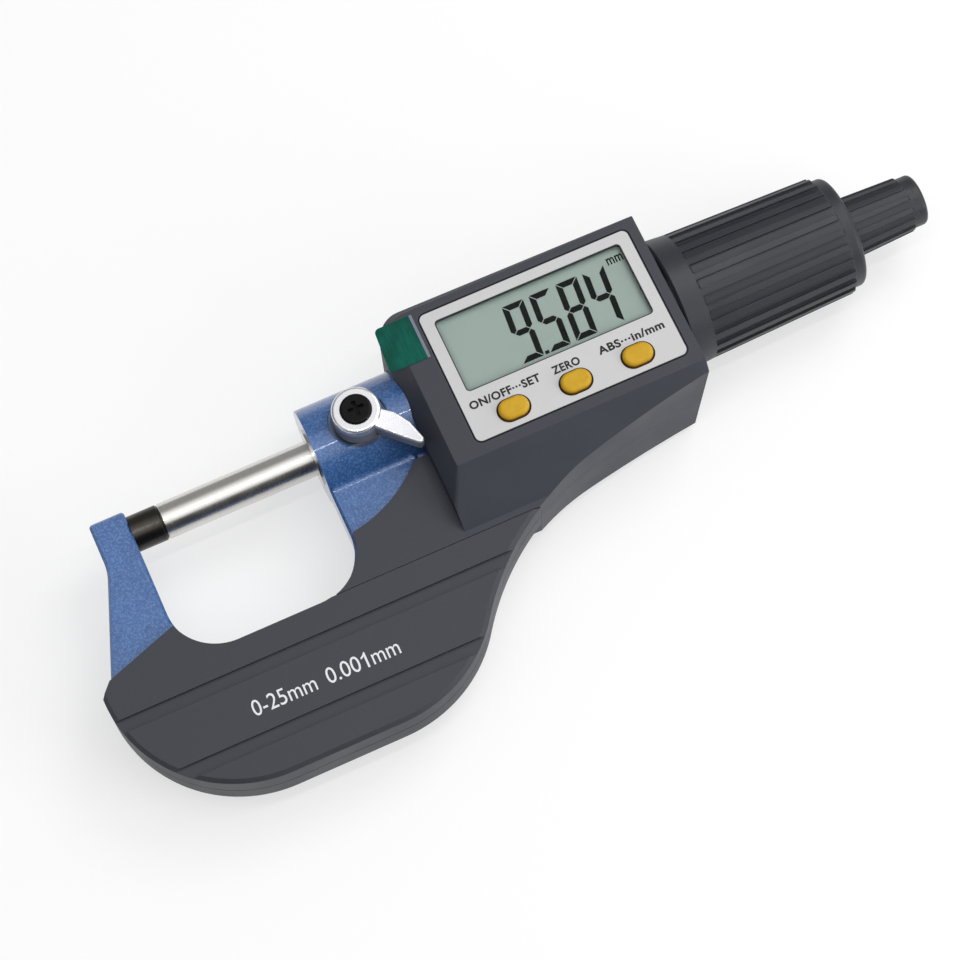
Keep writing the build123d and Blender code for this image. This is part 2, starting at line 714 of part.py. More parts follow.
def button_sketch(x, y, grow=0.0):
    return Pos(x, y) * SlotOverall(BUTTON_LENGTH + 2 * grow, BUTTON_WIDTH + 2 * grow)


def wall_openings():
    """Round openings of the housing for the frame's boss and the stem."""
    boss = tube(0, BOSS_TO + LOOSE, BOSS_D + 2 * LOOSE)
    return boss + tube(BOSS_TO, FAR, STEM_D + 2 * LOOSE)


def leg_space():
    """The room that the frame's plate and bar take inside flange and wall."""
    plate = slab(offset(frame_outline(), JOINT_LINE), -CORE_HALF - JOINT_LINE, CORE_HALF + JOINT_LINE)
    return plate + tail_bar(JOINT_LINE)


def leg_flange():
    """The flange over the leg, up to the housing's left wall."""
    return flange_area(JOINT_LINE) & box_sketch(0, -FAR, HOUSING_LEFT + OVERLAP, WEB_END_Y)


def front_housing():
    outline = housing_outline()
    shell = slab(outline + leg_flange(), JOINT_LINE, COVER_HALF)
    shell += slab(outline, COVER_HALF - JOINT_LINE, HOUSING_FRONT) & front_cap()
    room = offset(outline, -HOUSING_WALL)
    inner = slab(room, -OVERLAP, COVER_HALF - HOUSING_WALL)
    inner += slab(room, 0, FACE_UNDER) & front_cap(HOUSING_WALL)
    body = shell - (inner - end_wedge(HOUSING_WALL))
    for x, y in post_places():
        body += upright(x, y, BOARD_FRONT, FACE_UNDER + SEAT, POST_D)
    for x, y, back in SCREW_PLACES:
        body += upright(x, y, JOINT_LINE, FACE_UNDER, SCREW_BOSS_D) & shell
        body -= upright(x, y, -OVERLAP, SCREW_REACH + SCREW_HOLE_EXTRA, SCREW_D + 2 * SEAT)
    body -= slab(panel_sketch(LOOSE), PANEL_UNDER, FAR)
    body -= slab(window_sketch(DISPLAY_MARGIN + LOOSE), BOARD_FRONT, FAR)
    for x, y in button_places():
        body -= slab(button_sketch(x, y, BUTTON_FIT), BOARD_FRONT, FAR)
    body -= slab(offset(board_area(), LOOSE), BOARD_UNDER - LOOSE, BOARD_FRONT)
    return body - wall_openings() - leg_space() - end_wedge()


def rear_housing():
    outline = housing_outline()
    shell = slab(outline + leg_flange(), -COVER_HALF, 0)
    shell += slab(outline, -HOUSING_BACK, -COVER_HALF + JOINT_LINE) & back_cap()
    room = offset(outline, -HOUSING_WALL)
    inner = slab(room, -COVER_HALF + HOUSING_WALL, OVERLAP)
    inner += slab(room, -HOUSING_BACK + HOUSING_WALL, 0) & back_cap(HOUSING_WALL)
    body = shell - (inner - end_wedge(HOUSING_WALL)) + battery_well()
    for x, y, back in SCREW_PLACES:
        body += upright(x, y, -HOUSING_BACK, 0, SCREW_POST_D) & shell
        body -= upright(x, y, -FAR, OVERLAP, SCREW_D + 2 * LOOSE)
        body -= upright(x, y, -FAR, -back + SCREW_SUNK + SCREW_HEAD_HEIGHT, SCREW_HEAD_D + 2 * LOOSE)
    body -= battery_well_space()
    return body - wall_openings() - leg_space() - end_wedge()


def housing_screw(x, y, back):
    """A pan-head screw put in from the rear."""
    low = -back + SCREW_SUNK
    seat = low + SCREW_HEAD_HEIGHT
    screw = upright(x, y, low, seat, SCREW_HEAD_D)
    screw = fillet(screw.edges().sort_by(Axis.Z)[0], LOCK_SCREW_EDGE)
    screw += upright(x, y, seat, SCREW_REACH, SCREW_D)
    for turn in (0, 90):
        screw -= Pos(x, y, low) * Rot(0, 0, turn) * Box(SCREW_CROSS, CROSS_WIDTH, 2 * CROSS_DEPTH)
    return screw


def housing_screws():
    return Compound([housing_screw(*place) for place in SCREW_PLACES])


# Display and circuit board

def display_panel():
    panel = slab(panel_sketch(), PANEL_UNDER, HOUSING_FRONT)
    panel -= slab(window_sketch(), 0, FAR)
    for x, y in button_places():
        panel -= slab(button_sketch(x, y, BUTTON_MARGIN), 0, FAR)
    return panel


def display_pane():
    return slab(window_sketch(DISPLAY_MARGIN), DISPLAY_TOP + SEAT, PANEL_UNDER - SEAT)


def display():
    return slab(window_sketch(DISPLAY_MARGIN), DISPLAY_TOP - DISPLAY_THICKNESS, DISPLAY_TOP)


def display_strips():
    x, y = WINDOW_CENTRE
    low, high = BOARD_FRONT + SEAT, DISPLAY_TOP - DISPLAY_THICKNESS - SEAT
    shift = WINDOW_HEIGHT / 2
    strip = Box(STRIP_LENGTH, STRIP_WIDTH, high - low)
    return Compound([Pos(x, y + side * shift, (low + high) / 2) * strip for side in (-1, 1)])


def board_area():
    """The circuit board's outline, cut round the screw bosses."""
    area = box_sketch(BOARD_LEFT, BOARD_BOTTOM, BOARD_RIGHT, BOARD_TOP)
    for x, y, back in SCREW_PLACES:
        area -= Pos(x, y) * Circle(SCREW_BOSS_D / 2 + CLEAR)
    return area


def circuit_board():
    """The board with the measuring chip on its underside."""
    x, y = CHIP_CENTRE
    board = slab(board_area(), BOARD_UNDER, BOARD_FRONT - SEAT)
    return board + Pos(x, y, BOARD_UNDER - CHIP_HEIGHT / 2) * Box(CHIP_SIZE, CHIP_SIZE, CHIP_HEIGHT)


def button_switches():
    """Three dome switches on the board, just below where the pressed buttons stop."""
    rest = FACE_UNDER - JOINT_LINE - BUTTON_RIM_THICKNESS
    top = rest - BUTTON_TRAVEL - SWITCH_CLEARANCE
    return Compound([upright(x, y, BOARD_FRONT, top, SWITCH_D) for x, y in button_places()])


def button(place):
    """An oblong key with a rim that keeps it behind the front wall."""
    x, y = button_places()[place]
    rim_top = FACE_UNDER - JOINT_LINE
    key = slab(button_sketch(x, y), rim_top - BUTTON_RIM_THICKNESS, HOUSING_FRONT + BUTTON_PROUD)
    key = fillet(key.edges().group_by(Axis.Z)[-1], BUTTON_DOME)
    return key + slab(button_sketch(x, y, BUTTON_RIM), rim_top - BUTTON_RIM_THICKNESS, rim_top)


def film_tab():
    """The coloured pull tab at the film's left end, with rounded free corners."""
    tab = Polygon(
        (TAB_LEFT - TAB_SKEW, TAB_BOTTOM),
        (TAB_RIGHT, TAB_BOTTOM),
        (TAB_RIGHT, TAB_TOP),
        (TAB_LEFT + TAB_SKEW, TAB_TOP),
        align=None,
    )
    tab = fillet(tab.vertices().sort_by(Axis.X)[:2], TAB_RADIUS)
    return slab(tab, HOUSING_FRONT, HOUSING_FRONT + TAB_THICKNESS)


def display_film():
    x, y = WINDOW_CENTRE
    top = y + WINDOW_HEIGHT / 2 + FILM_MARGIN
    bottom = y - WINDOW_HEIGHT / 2 - FILM_MARGIN
    right = x + WINDOW_WIDTH / 2 + FILM_MARGIN
    sheet = box_sketch(TAB_RIGHT, bottom, right, top)
    return slab(sheet, HOUSING_FRONT, HOUSING_FRONT + FILM_THICKNESS)


# Spindle lock

def lock_pad():
    """The brass pad between stud and spindle, hollowed to the spindle's radius."""
    pad = upright(LOCK_X, 0, 0, PAD_TOP, PAD_D)
    return pad - tube(0, BOSS_TO, SPINDLE_D + 2 * RUNNING)


def lock_stud():
    stud = upright(LOCK_X, 0, STUD_FROM, LEVER_BOTTOM + STUD_IN_LEVER, STUD_D)
    return stud - upright(LOCK_X, 0, LEVER_SEAT - LOCK_SCREW_LENGTH - LOOSE, FAR, LOCK_SCREW_D + 2 * SEAT)


def lock_lever():
    """A disc with a curved arm that falls towards its tip."""
    disc = upright(0, 0, LEVER_BOTTOM, LEVER_TOP, LEVER_D)
    disc = fillet(disc.edges().sort_by(Axis.Z)[-1], LEVER_EDGE)
    root = Circle(LEVER_ROOT_D / 2).edges()
    belly = (Pos(LEVER_BELLY_AT, LEVER_BELLY_RISE) * Circle(LEVER_BELLY_D / 2)).edges()
    shoulder = (Pos(LEVER_SHOULDER_AT, LEVER_SHOULDER_RISE) * Circle(LEVER_SHOULDER_D / 2)).edges()
    tip = (Pos(LEVER_REACH - LEVER_TIP_RADIUS, -LEVER_TIP_DROP) * Circle(LEVER_TIP_RADIUS)).edges()
    blade = slab(make_hull(root + belly + shoulder + tip), ARM_BOTTOM, ARM_TOP)
    fall = LEVER_REACH * math.tan(math.radians(ARM_FALL))
    above = Polygon((0, ARM_TOP), (LEVER_REACH, ARM_TOP - fall), (LEVER_REACH, FAR), (0, FAR), align=None)
    blade -= extrude(Plane.XZ * above, FAR, both=True)
    blade = fillet(blade.faces().sort_by(Axis.Z)[-1].edges(), ARM_EDGE)
    lever = disc + blade
    lever -= upright(0, 0, 0, LEVER_BOTTOM + STUD_IN_LEVER, STUD_D + 2 * SEAT)
    lever -= upright(0, 0, 0, FAR, LOCK_SCREW_D + 2 * SEAT)
    lever -= upright(0, 0, LEVER_SEAT, FAR, LOCK_SCREW_HEAD + 2 * SEAT)
    return Pos(LOCK_X, 0, 0) * Rot(0, 0, LEVER_ANGLE) * lever


def lock_screw():
    top = LEVER_TOP + LOCK_SCREW_PROUD
    screw = upright(LOCK_X, 0, LEVER_SEAT, top, LOCK_SCREW_HEAD)
    screw = fillet(screw.edges().sort_by(Axis.Z)[-1], LOCK_SCREW_EDGE)
    screw += upright(LOCK_X, 0, LEVER_SEAT - LOCK_SCREW_LENGTH, LEVER_SEAT, LOCK_SCREW_D)
    for turn in (0, 90):
        screw -= Pos(LOCK_X, 0, top) * Rot(0, 0, turn) * Box(CROSS_LENGTH, CROSS_WIDTH, 2 * CROSS_DEPTH)
    return screw


# Spindle guide, encoder and stem

def spindle_bush():
    start = BOSS_FROM - BUSH_PROUD
    bush = tube(start, start + BUSH_LENGTH, BUSH_D, SPINDLE_D + 2 * RUNNING)
    return bush - upright(LOCK_X, 0, 0, FAR, PAD_D + 2 * SEAT)


def encoder_stator():
    return tube(BOSS_TO, BOSS_TO + STATOR_THICKNESS, STATOR_D, SPINDLE_D + 2 * CLEAR)


def encoder_rotor():
    """The turning disc, whose hub carries the key that the spindle drives."""
    bore = SPINDLE_D + 2 * RUNNING
    rotor = tube(ROTOR_FROM, ROTOR_FROM + ROTOR_THICKNESS, STATOR_D, bore)
    rotor += tube(ROTOR_FROM, ROTOR_FROM + ROTOR_HUB_LENGTH, ROTOR_HUB_D, bore)
    return rotor - upright(KEY_X, 0, 0, FAR, KEY_D + 2 * SEAT)


def drive_key():
    return upright(KEY_X, 0, SPINDLE_R - KEYWAY_DEPTH + RUNNING, ROTOR_HUB_D / 2 - SEAT, KEY_D)


def stem():
    """The sleeve under the thimble, spigoted into the frame's tail."""
    spigot, outer = STEM_SPIGOT_D / 2, STEM_D / 2
    small, large = STEM_SPIGOT_BORE / 2, STEM_BORE / 2
    wall_to = STEM_BOSS_TO + HOUSING_WALL
    return turned(
        (STEM_BOSS_FROM, small), (STEM_BOSS_FROM, spigot), (STEM_BOSS_TO, spigot), (STEM_BOSS_TO, outer),
        (STEM_END - STEM_EDGE, outer), (STEM_END, outer - STEM_EDGE), (STEM_END, large), (wall_to, large),
        (wall_to, small),
    )


def spindle_nut():
    """The threaded nut in the stem's end, with the flange that centres it."""
    flange = tube(STEM_END - NUT_FLANGE, STEM_END, STEM_BORE - 2 * SEAT, THREAD_D + 2 * RUNNING)
    return flange + tube(STEM_END - NUT_LENGTH, STEM_END, NUT_D, THREAD_D + 2 * RUNNING)


def adjusting_nut():
    end = STEM_END - NUT_FLANGE - SEAT
    return tube(end - ADJUSTER_LENGTH, end, ADJUSTER_D, NUT_D + 2 * SEAT)


# Spindle, thimble and ratchet

def spindle():
    """The measuring rod: plain bar with a keyway, thread and a cone for the thimble."""
    start = FACE_GAP / 2 + TIP_LENGTH
    thread, small = THREAD_D / 2, CONE_SMALL_D / 2
    rod = turned(
        (start, 0), (start, SPINDLE_R), (THREAD_FROM, SPINDLE_R), (THREAD_FROM, thread),
        (CONE_FROM, thread), (THIMBLE_END, small), (THIMBLE_END, 0),
    )
    middle, length = (KEYWAY_FROM + KEYWAY_TO) / 2, KEYWAY_TO - KEYWAY_FROM
    keyway = Pos(middle, 0) * SlotOverall(length, KEY_D + 2 * RUNNING)
    rod -= slab(keyway, SPINDLE_R - KEYWAY_DEPTH, FAR)
    return rod - ratchet_screw_hole()


def ratchet_screw_hole():
    return tube(POST_END - RATCHET_SCREW_LENGTH - LOOSE, FAR, RATCHET_SCREW_D + 2 * SEAT)


def grip_channels(start, end, radius, taper, count, depth):
    """Flat-floored channels along a tapered grip, closed by a ledge at their start."""
    lean = math.tan(math.radians(taper))
    floor, far_floor = radius - depth, radius - depth - lean * (end + OVERLAP - start)
    profile = Polygon(
        (start, floor),
        (end + OVERLAP, far_floor),
        (end + OVERLAP, radius + depth),
        (start - 2 * LEDGE_SLOPE, radius + depth),
        align=None,
    )
    width = CHANNEL_SHARE * 2 * math.pi * radius / count
    cutter = extrude(Plane.XZ * profile, width / 2, both=True)
    return [Rot(360 * step / count, 0, 0) * cutter for step in range(count)]


def thimble():
    """The grip sleeve: smooth flared collar, channelled length and end ring."""
    lean = math.tan(math.radians(THIMBLE_TAPER))
    grip_from = THIMBLE_START + COLLAR_LENGTH
    land, land_end = THIMBLE_D / 2, THIMBLE_D / 2 - lean * (RIBBED_END - grip_from)
    mouth = land + lean * COLLAR_LENGTH + THIMBLE_FLARE
    bore, ring, hub = THIMBLE_BORE / 2, RING_D / 2, CORE_HUB_D / 2 + SEAT
    floor = THIMBLE_END - END_WALL
    body = turned(
        (THIMBLE_START, bore + THIMBLE_EDGE), (THIMBLE_START, mouth - THIMBLE_EDGE),
        (THIMBLE_START + THIMBLE_EDGE, mouth), (grip_from, land), (RIBBED_END - THIMBLE_EDGE, land_end),
        (RIBBED_END, ring), (THIMBLE_END, ring), (THIMBLE_END, hub), (floor, hub), (floor, bore),
        (THIMBLE_START + THIMBLE_EDGE, bore),
    )
    rim = body.edges().filter_by(GeomType.CIRCLE).filter_by_position(Axis.X, THIMBLE_END - SEAT, THIMBLE_END + SEAT)
    body = fillet(rim.sort_by(SortBy.RADIUS)[-1], RING_ROUND)
    return body - grip_channels(grip_from + LEDGE_SLOPE, RIBBED_END, land, THIMBLE_TAPER, CHANNELS, GROOVE_DEPTH)


def thimble_core():
    """The flanged bush that joins thimble and spindle on the spindle's cone."""
    wall = THIMBLE_END - END_WALL - SEAT
    start = wall - CORE_FLANGE
    slope = (THREAD_D - CONE_SMALL_D) / 2 / CONE_LENGTH
    wide = THREAD_D / 2 - slope * (start - CONE_FROM) + SEAT
    small = CONE_SMALL_D / 2 + SEAT
    flange, hub = THIMBLE_BORE / 2 - SEAT, CORE_HUB_D / 2
    return turned(
        (start, wide), (start, flange), (wall, flange), (wall, hub), (THIMBLE_END, hub), (THIMBLE_END, small),
    )


def ratchet_teeth(face, rise, inner, outer):
    """A ring of one-way teeth standing on a face across the axis."""
    tooth = Polygon((face, 0), (face + rise, 0), (face, TOOTH_WIDTH), align=None)
    tooth = extrude(Pos(0, 0, inner) * tooth, outer - inner, dir=(0, 0, 1))
    return [Rot(360 * step / RATCHET_TEETH, 0, 0) * tooth for step in range(RATCHET_TEETH)]


def ratchet_base():
    """The toothed disc and post fixed to the spindle's end."""
    disc_d = KNOB_BORE - 2 * CLEAR
    base = tube(THIMBLE_END + SEAT, DRIVE_FACE, disc_d) + tube(THIMBLE_END + SEAT, POST_END, POST_DIAMETER)
    base += ratchet_teeth(DRIVE_FACE, TOOTH_HEIGHT, POST_DIAMETER / 2 + CLEAR, disc_d / 2 - CLEAR)
    return base - ratchet_screw_hole()


def ratchet_ring():
    """The pusher that the spring holds against the toothed disc."""
    ring_d = KNOB_BORE - 2 * SEAT
    bore = POST_DIAMETER + 2 * CLEAR
    ring = tube(PUSHER_FROM, PUSHER_FROM + PUSHER_LENGTH, ring_d, bore)
    return ring + ratchet_teeth(PUSHER_FROM, -TOOTH_HEIGHT, POST_DIAMETER / 2 + CLEAR, ring_d / 2 - 2 * CLEAR)


def ratchet_spring():
    start = PUSHER_FROM + PUSHER_LENGTH + SPRING_WIRE / 2 + SEAT
    end = KNOB_END - KNOB_END_WALL - SPRING_WIRE / 2 - SEAT
    coil = Helix((end - start) / SPRING_TURNS, end - start, (SPRING_D - SPRING_WIRE) / 2)
    section = Plane(origin=coil @ 0, z_dir=coil % 0) * Circle(SPRING_WIRE / 2)
    spring = sweep(section, path=coil, is_frenet=True)
    return Pos(start, 0, 0) * Rot(0, 90, 0) * spring


def ratchet_knob():
    """The hollow knob that drives the spindle through the ratchet."""
    lean = math.tan(math.radians(KNOB_TAPER))
    land, land_end = KNOB_D / 2, KNOB_D / 2 - lean * KNOB_RIBBED_LENGTH
    ring, bore, hole = KNOB_RING_D / 2, KNOB_BORE / 2, POST_DIAMETER / 2 + RUNNING
    seat, seat_from = RATCHET_SCREW_HEAD / 2 + CLEAR, KNOB_END - RATCHET_SCREW_SEAT
    body = turned(
        (KNOB_FROM, bore), (KNOB_FROM, land - THIMBLE_EDGE), (KNOB_FROM + THIMBLE_EDGE, land),
        (KNOB_RIBBED_END - THIMBLE_EDGE, land_end), (KNOB_RIBBED_END, ring), (KNOB_END, ring),
        (KNOB_END, seat), (seat_from, seat), (seat_from, hole), (KNOB_END - KNOB_END_WALL, hole),
        (KNOB_END - KNOB_END_WALL, bore),
    )
    rim = body.edges().filter_by(GeomType.CIRCLE).filter_by_position(Axis.X, KNOB_END - SEAT, KNOB_END + SEAT)
    body = fillet(rim.sort_by(SortBy.RADIUS)[-1], KNOB_ROUND)
    start = KNOB_FROM + 2 * THIMBLE_EDGE
    return body - grip_channels(start, KNOB_RIBBED_END, land, KNOB_TAPER, KNOB_CHANNELS, KNOB_GROOVE_DEPTH)


def ratchet_screw():
    """The slotted screw through the post, which keeps the knob on."""
    head_end = KNOB_END - JOINT_LINE
    screw = tube(POST_END, head_end, RATCHET_SCREW_HEAD)
    screw += tube(POST_END - RATCHET_SCREW_LENGTH, POST_END, RATCHET_SCREW_D)
    slot = Box(2 * RATCHET_SLOT_DEPTH, RATCHET_SCREW_HEAD, RATCHET_SLOT_WIDTH)
    return screw - Pos(head_end, 0, 0) * slot


# Battery and its cap

def battery_well():
    """The round wall that holds the battery and the cap."""
    x, y = BATTERY_CENTRE
    top = CAP_INNER + BATTERY_THICKNESS - WELL_LOW
    return upright(x, y, -HOUSING_BACK, top, CAP_D + 2 * (CAP_LUG + CLEAR + WELL_WALL))


def battery_well_space():
    """Room for the battery, the cap, its lugs on their way round, and the side contact."""
    x, y = BATTERY_CENTRE
    low = CAP_INNER - CAP_LUG_HEIGHT - CAP_LUG_LIFT
    space = upright(x, y, CAP_INNER, FAR, BATTERY_D + 2 * LOOSE)
    space += upright(x, y, -FAR, CAP_INNER, CAP_D + 2 * RUNNING)
    reach = CAP_LUG + CLEAR
    space += lug_sector(-FAR, CAP_INNER, reach, CAP_LUG_ANGLE + CAP_LUG_MARGIN, -CAP_TURN)
    swept = CAP_LUG_ANGLE + CAP_TURN + CAP_LUG_MARGIN
    space += lug_sector(low, CAP_INNER + CAP_LUG_LIFT, reach, swept, -CAP_TURN / 2)
    return space + side_contact(LOOSE)


def lug_sector(low, high, width, angle, middle):
    """Two opposite sectors of a disc wider than the cap, centred on an angle from +X."""
    x, y = BATTERY_CENTRE
    outer = CAP_D / 2 + width
    half = math.radians(angle / 2)
    reach_x, reach_y = 2 * outer * math.cos(half), 2 * outer * math.sin(half)
    fan = Polygon((0, 0), (reach_x, -reach_y), (reach_x, reach_y), align=None)
    both = Rot(0, 0, middle) * fan + Rot(0, 0, middle + 180) * fan
    return slab(Pos(x, y) * (Circle(outer) & both), low, high)


def battery_cap():
    """The coin-slotted bayonet cap with two lugs."""
    x, y = BATTERY_CENTRE
    disc = upright(x, y, CAP_BACK, CAP_INNER, CAP_D)
    disc = chamfer(disc.edges().sort_by(Axis.Z)[0], CAP_EDGE)
    disc += lug_sector(CAP_INNER - CAP_LUG_HEIGHT, CAP_INNER, CAP_LUG, CAP_LUG_ANGLE, 0.0)
    return disc - Pos(x, y, CAP_BACK) * Box(CAP_SLOT_LENGTH, CAP_SLOT_WIDTH, 2 * CAP_SLOT_DEPTH)


def battery():
    """A button cell: the wide can, and the smaller pole towards the inside."""
    x, y = BATTERY_CENTRE
    low = CAP_INNER + JOINT_LINE
    can = upright(x, y, low, low + BATTERY_THICKNESS - BATTERY_STEP, BATTERY_D)
    can = fillet(can.edges().filter_by(GeomType.CIRCLE), BATTERY_CAN_EDGE)
    return can + upright(x, y, low + OVERLAP, low + BATTERY_THICKNESS, BATTERY_POLE_D)


def side_contact(grow=0.0):
    """The upright spring strip beside the battery."""
    x, y = BATTERY_CENTRE
    high = BOARD_UNDER - JOINT_LINE
    distance = BATTERY_D / 2 + JOINT_LINE + CONTACT_THICKNESS / 2
    width, thickness = CONTACT_WIDTH + 2 * grow, CONTACT_THICKNESS + 2 * grow
    middle = (SIDE_CONTACT_FROM + high) / 2
    strip = Pos(distance, 0, middle) * Box(thickness, width, high - SIDE_CONTACT_FROM)
    return Pos(x, y, 0) * Rot(0, 0, SIDE_CONTACT_ANGLE) * strip


def battery_contacts():
    """The strip over the battery's pole, which rises to the board, and the side strip."""
    low = CAP_INNER + BATTERY_THICKNESS + 2 * JOINT_LINE
    high = BOARD_UNDER - JOINT_LINE
    left, right = CONTACT_X - CONTACT_WIDTH / 2, CONTACT_X + CONTACT_WIDTH / 2
    riser = CONTACT_RISER_Y - CONTACT_THICKNESS
    finger = slab(box_sketch(left, CONTACT_FROM_Y, right, CONTACT_RISER_Y), low, low + CONTACT_THICKNESS)
    finger += slab(box_sketch(left, riser, right, CONTACT_RISER_Y), low, high)
    return Compound([finger, side_contact()])


PARTS = {
    "frame": frame,
    "anvil": anvil,
    "anvil_tip": anvil_tip,
    "front_frame_cover": cover,
    "rear_frame_cover": lambda: mirrored(cover()),
    "front_housing": front_housing,
    "rear_housing": rear_housing,
    "housing_screws": housing_screws,
    "display_panel": display_panel,
    "display_pane": display_pane,
    "display": display,
    "display_strips": display_strips,
    "display_film": display_film,
    "film_tab": film_tab,
    "circuit_board": circuit_board,
    "button_switches": button_switches,
    "button_on_off": lambda: button(0),
    "button_zero": lambda: button(1),
    "button_unit": lambda: button(2),
    "spindle_bush": spindle_bush,
    "lock_pad": lock_pad,
    "lock_stud": lock_stud,
    "lock_lever": lock_lever,
    "lock_screw": lock_screw,
    "encoder_stator": encoder_stator,
    "encoder_rotor": encoder_rotor,
    "drive_key": drive_key,
    "stem": stem,
    "spindle_nut": spindle_nut,
    "adjusting_nut": adjusting_nut,
    "spindle": spindle,
    "spindle_tip": spindle_tip,
    "thimble": thimble,
    "thimble_core": thimble_core,
    "ratchet_base": ratchet_base,
    "ratchet_ring": ratchet_ring,
    "ratchet_spring": ratchet_spring,
    "ratchet_knob": ratchet_knob,
    "ratchet_screw": ratchet_screw,
    "battery": battery,
    "battery_contacts": battery_contacts,
    "battery_cap": battery_cap,
}


def main():
    os.makedirs("parts", exist_ok=True)
    for name, build in PARTS.items():
        shape = build()
        print(name, round(shape.volume, 1), len(shape.solids()))
        export_step(TO_PART_FRAME * shape, f"parts/{name}.step")


main()
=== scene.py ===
"""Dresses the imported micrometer: studio, camera, finishes, display digits and printed lettering."""

import logging
import math
from dataclasses import dataclass
from enum import Enum
from typing import Any, ClassVar, Iterable

import bmesh
import bpy
from mathutils import Matrix, Vector


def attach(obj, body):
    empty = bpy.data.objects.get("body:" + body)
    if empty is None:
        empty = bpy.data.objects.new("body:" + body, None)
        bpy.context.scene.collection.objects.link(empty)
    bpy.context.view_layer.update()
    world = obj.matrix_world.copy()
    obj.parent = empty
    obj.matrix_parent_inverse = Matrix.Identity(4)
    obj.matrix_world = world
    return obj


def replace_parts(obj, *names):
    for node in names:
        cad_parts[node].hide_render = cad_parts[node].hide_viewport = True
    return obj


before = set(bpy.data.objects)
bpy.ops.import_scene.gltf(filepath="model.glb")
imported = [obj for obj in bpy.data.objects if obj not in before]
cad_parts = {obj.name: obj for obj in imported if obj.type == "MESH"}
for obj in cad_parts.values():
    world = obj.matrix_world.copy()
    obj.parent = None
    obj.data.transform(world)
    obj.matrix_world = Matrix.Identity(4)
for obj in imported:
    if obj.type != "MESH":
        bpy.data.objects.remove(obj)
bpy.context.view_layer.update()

MM = 0.001
ORIGIN = Vector((-72.0, 0.0, 12.3))
MERGE_DISTANCE = 1e-7
BEVEL_SAMPLES = 4
CURVE_STEPS = 4
LOG = logging.getLogger("micrometer")


class Body(Enum):
    """The bodies that the new pieces ride on."""

    INSTRUMENT = "instrument"


class Slot(Enum):
    """The record's material slots, one named for each new piece."""

    COVER = "cover_plastic"
    PANEL = "panel_grey"
    CRYSTAL = "lcd"
    FILM = "clear_film"


def at(x: float, y: float, z: float) -> Vector:
    """Turns a place in spindle coordinates into the shared frame.

    Args:
        x: Distance along the spindle from the closed measuring faces, in mm.
        y: Distance towards the display's upper edge, in mm.
        z: Distance out of the display, in mm.

    Returns:
        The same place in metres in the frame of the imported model.
    """
    return (Vector((x, y, z)) + ORIGIN) * MM


def height(level: float) -> float:
    """Turns a height in spindle coordinates, in mm, into metres in the shared frame."""
    return at(0.0, 0.0, level).z


@dataclass(frozen=True)
class RoundedBox:
    """A rounded rectangle seen from above, in spindle coordinates and mm."""

    x: float
    y: float
    half_width: float
    half_height: float
    radius: float


SPOT_FACE = RoundedBox(37.4, 0.0, 4.8, 4.8, 4.8)
WINDOW = RoundedBox(73.5, 2.22, 17.4, 7.05, 0.6)
PANEL = RoundedBox(73.5, -1.4, 19.85, 12.9, 1.3)
KEY_PITCH = 11.6
KEYS = tuple(RoundedBox(PANEL.x + step * KEY_PITCH, -10.95, 3.0, 2.15, 2.1) for step in (-1, 0, 1))


@dataclass(frozen=True)
class Mottle:
    """Blotches of noise, and how strongly they tint what they lie on."""

    size: float
    detail: float
    low: float
    high: float
    share: float = 1.0
    stretch: tuple[float, float, float] = (1.0, 1.0, 1.0)


@dataclass(frozen=True)
class Tint:
    """A colour as it reads on the instrument, in 0 to 255 for each channel."""

    red: float
    green: float
    blue: float

    def linear(self) -> tuple[float, float, float, float]:
        """Returns the scene-linear colour with full alpha."""
        return (*(self._channel(value) for value in (self.red, self.green, self.blue)), 1.0)

    def shade(self, factor: float) -> "Tint":
        """Returns the colour made darker or lighter.

        Args:
            factor: What each channel is multiplied by.

        Returns:
            The changed colour, held within the channel's range.
        """
        return Tint(*(min(255.0, value * factor) for value in (self.red, self.green, self.blue)))

    @staticmethod
    def _channel(value: float) -> float:
        """Returns one channel in linear light."""
        part = value / 255.0
        return part / 12.92 if part <= 0.04045 else ((part + 0.055) / 1.055) ** 2.4


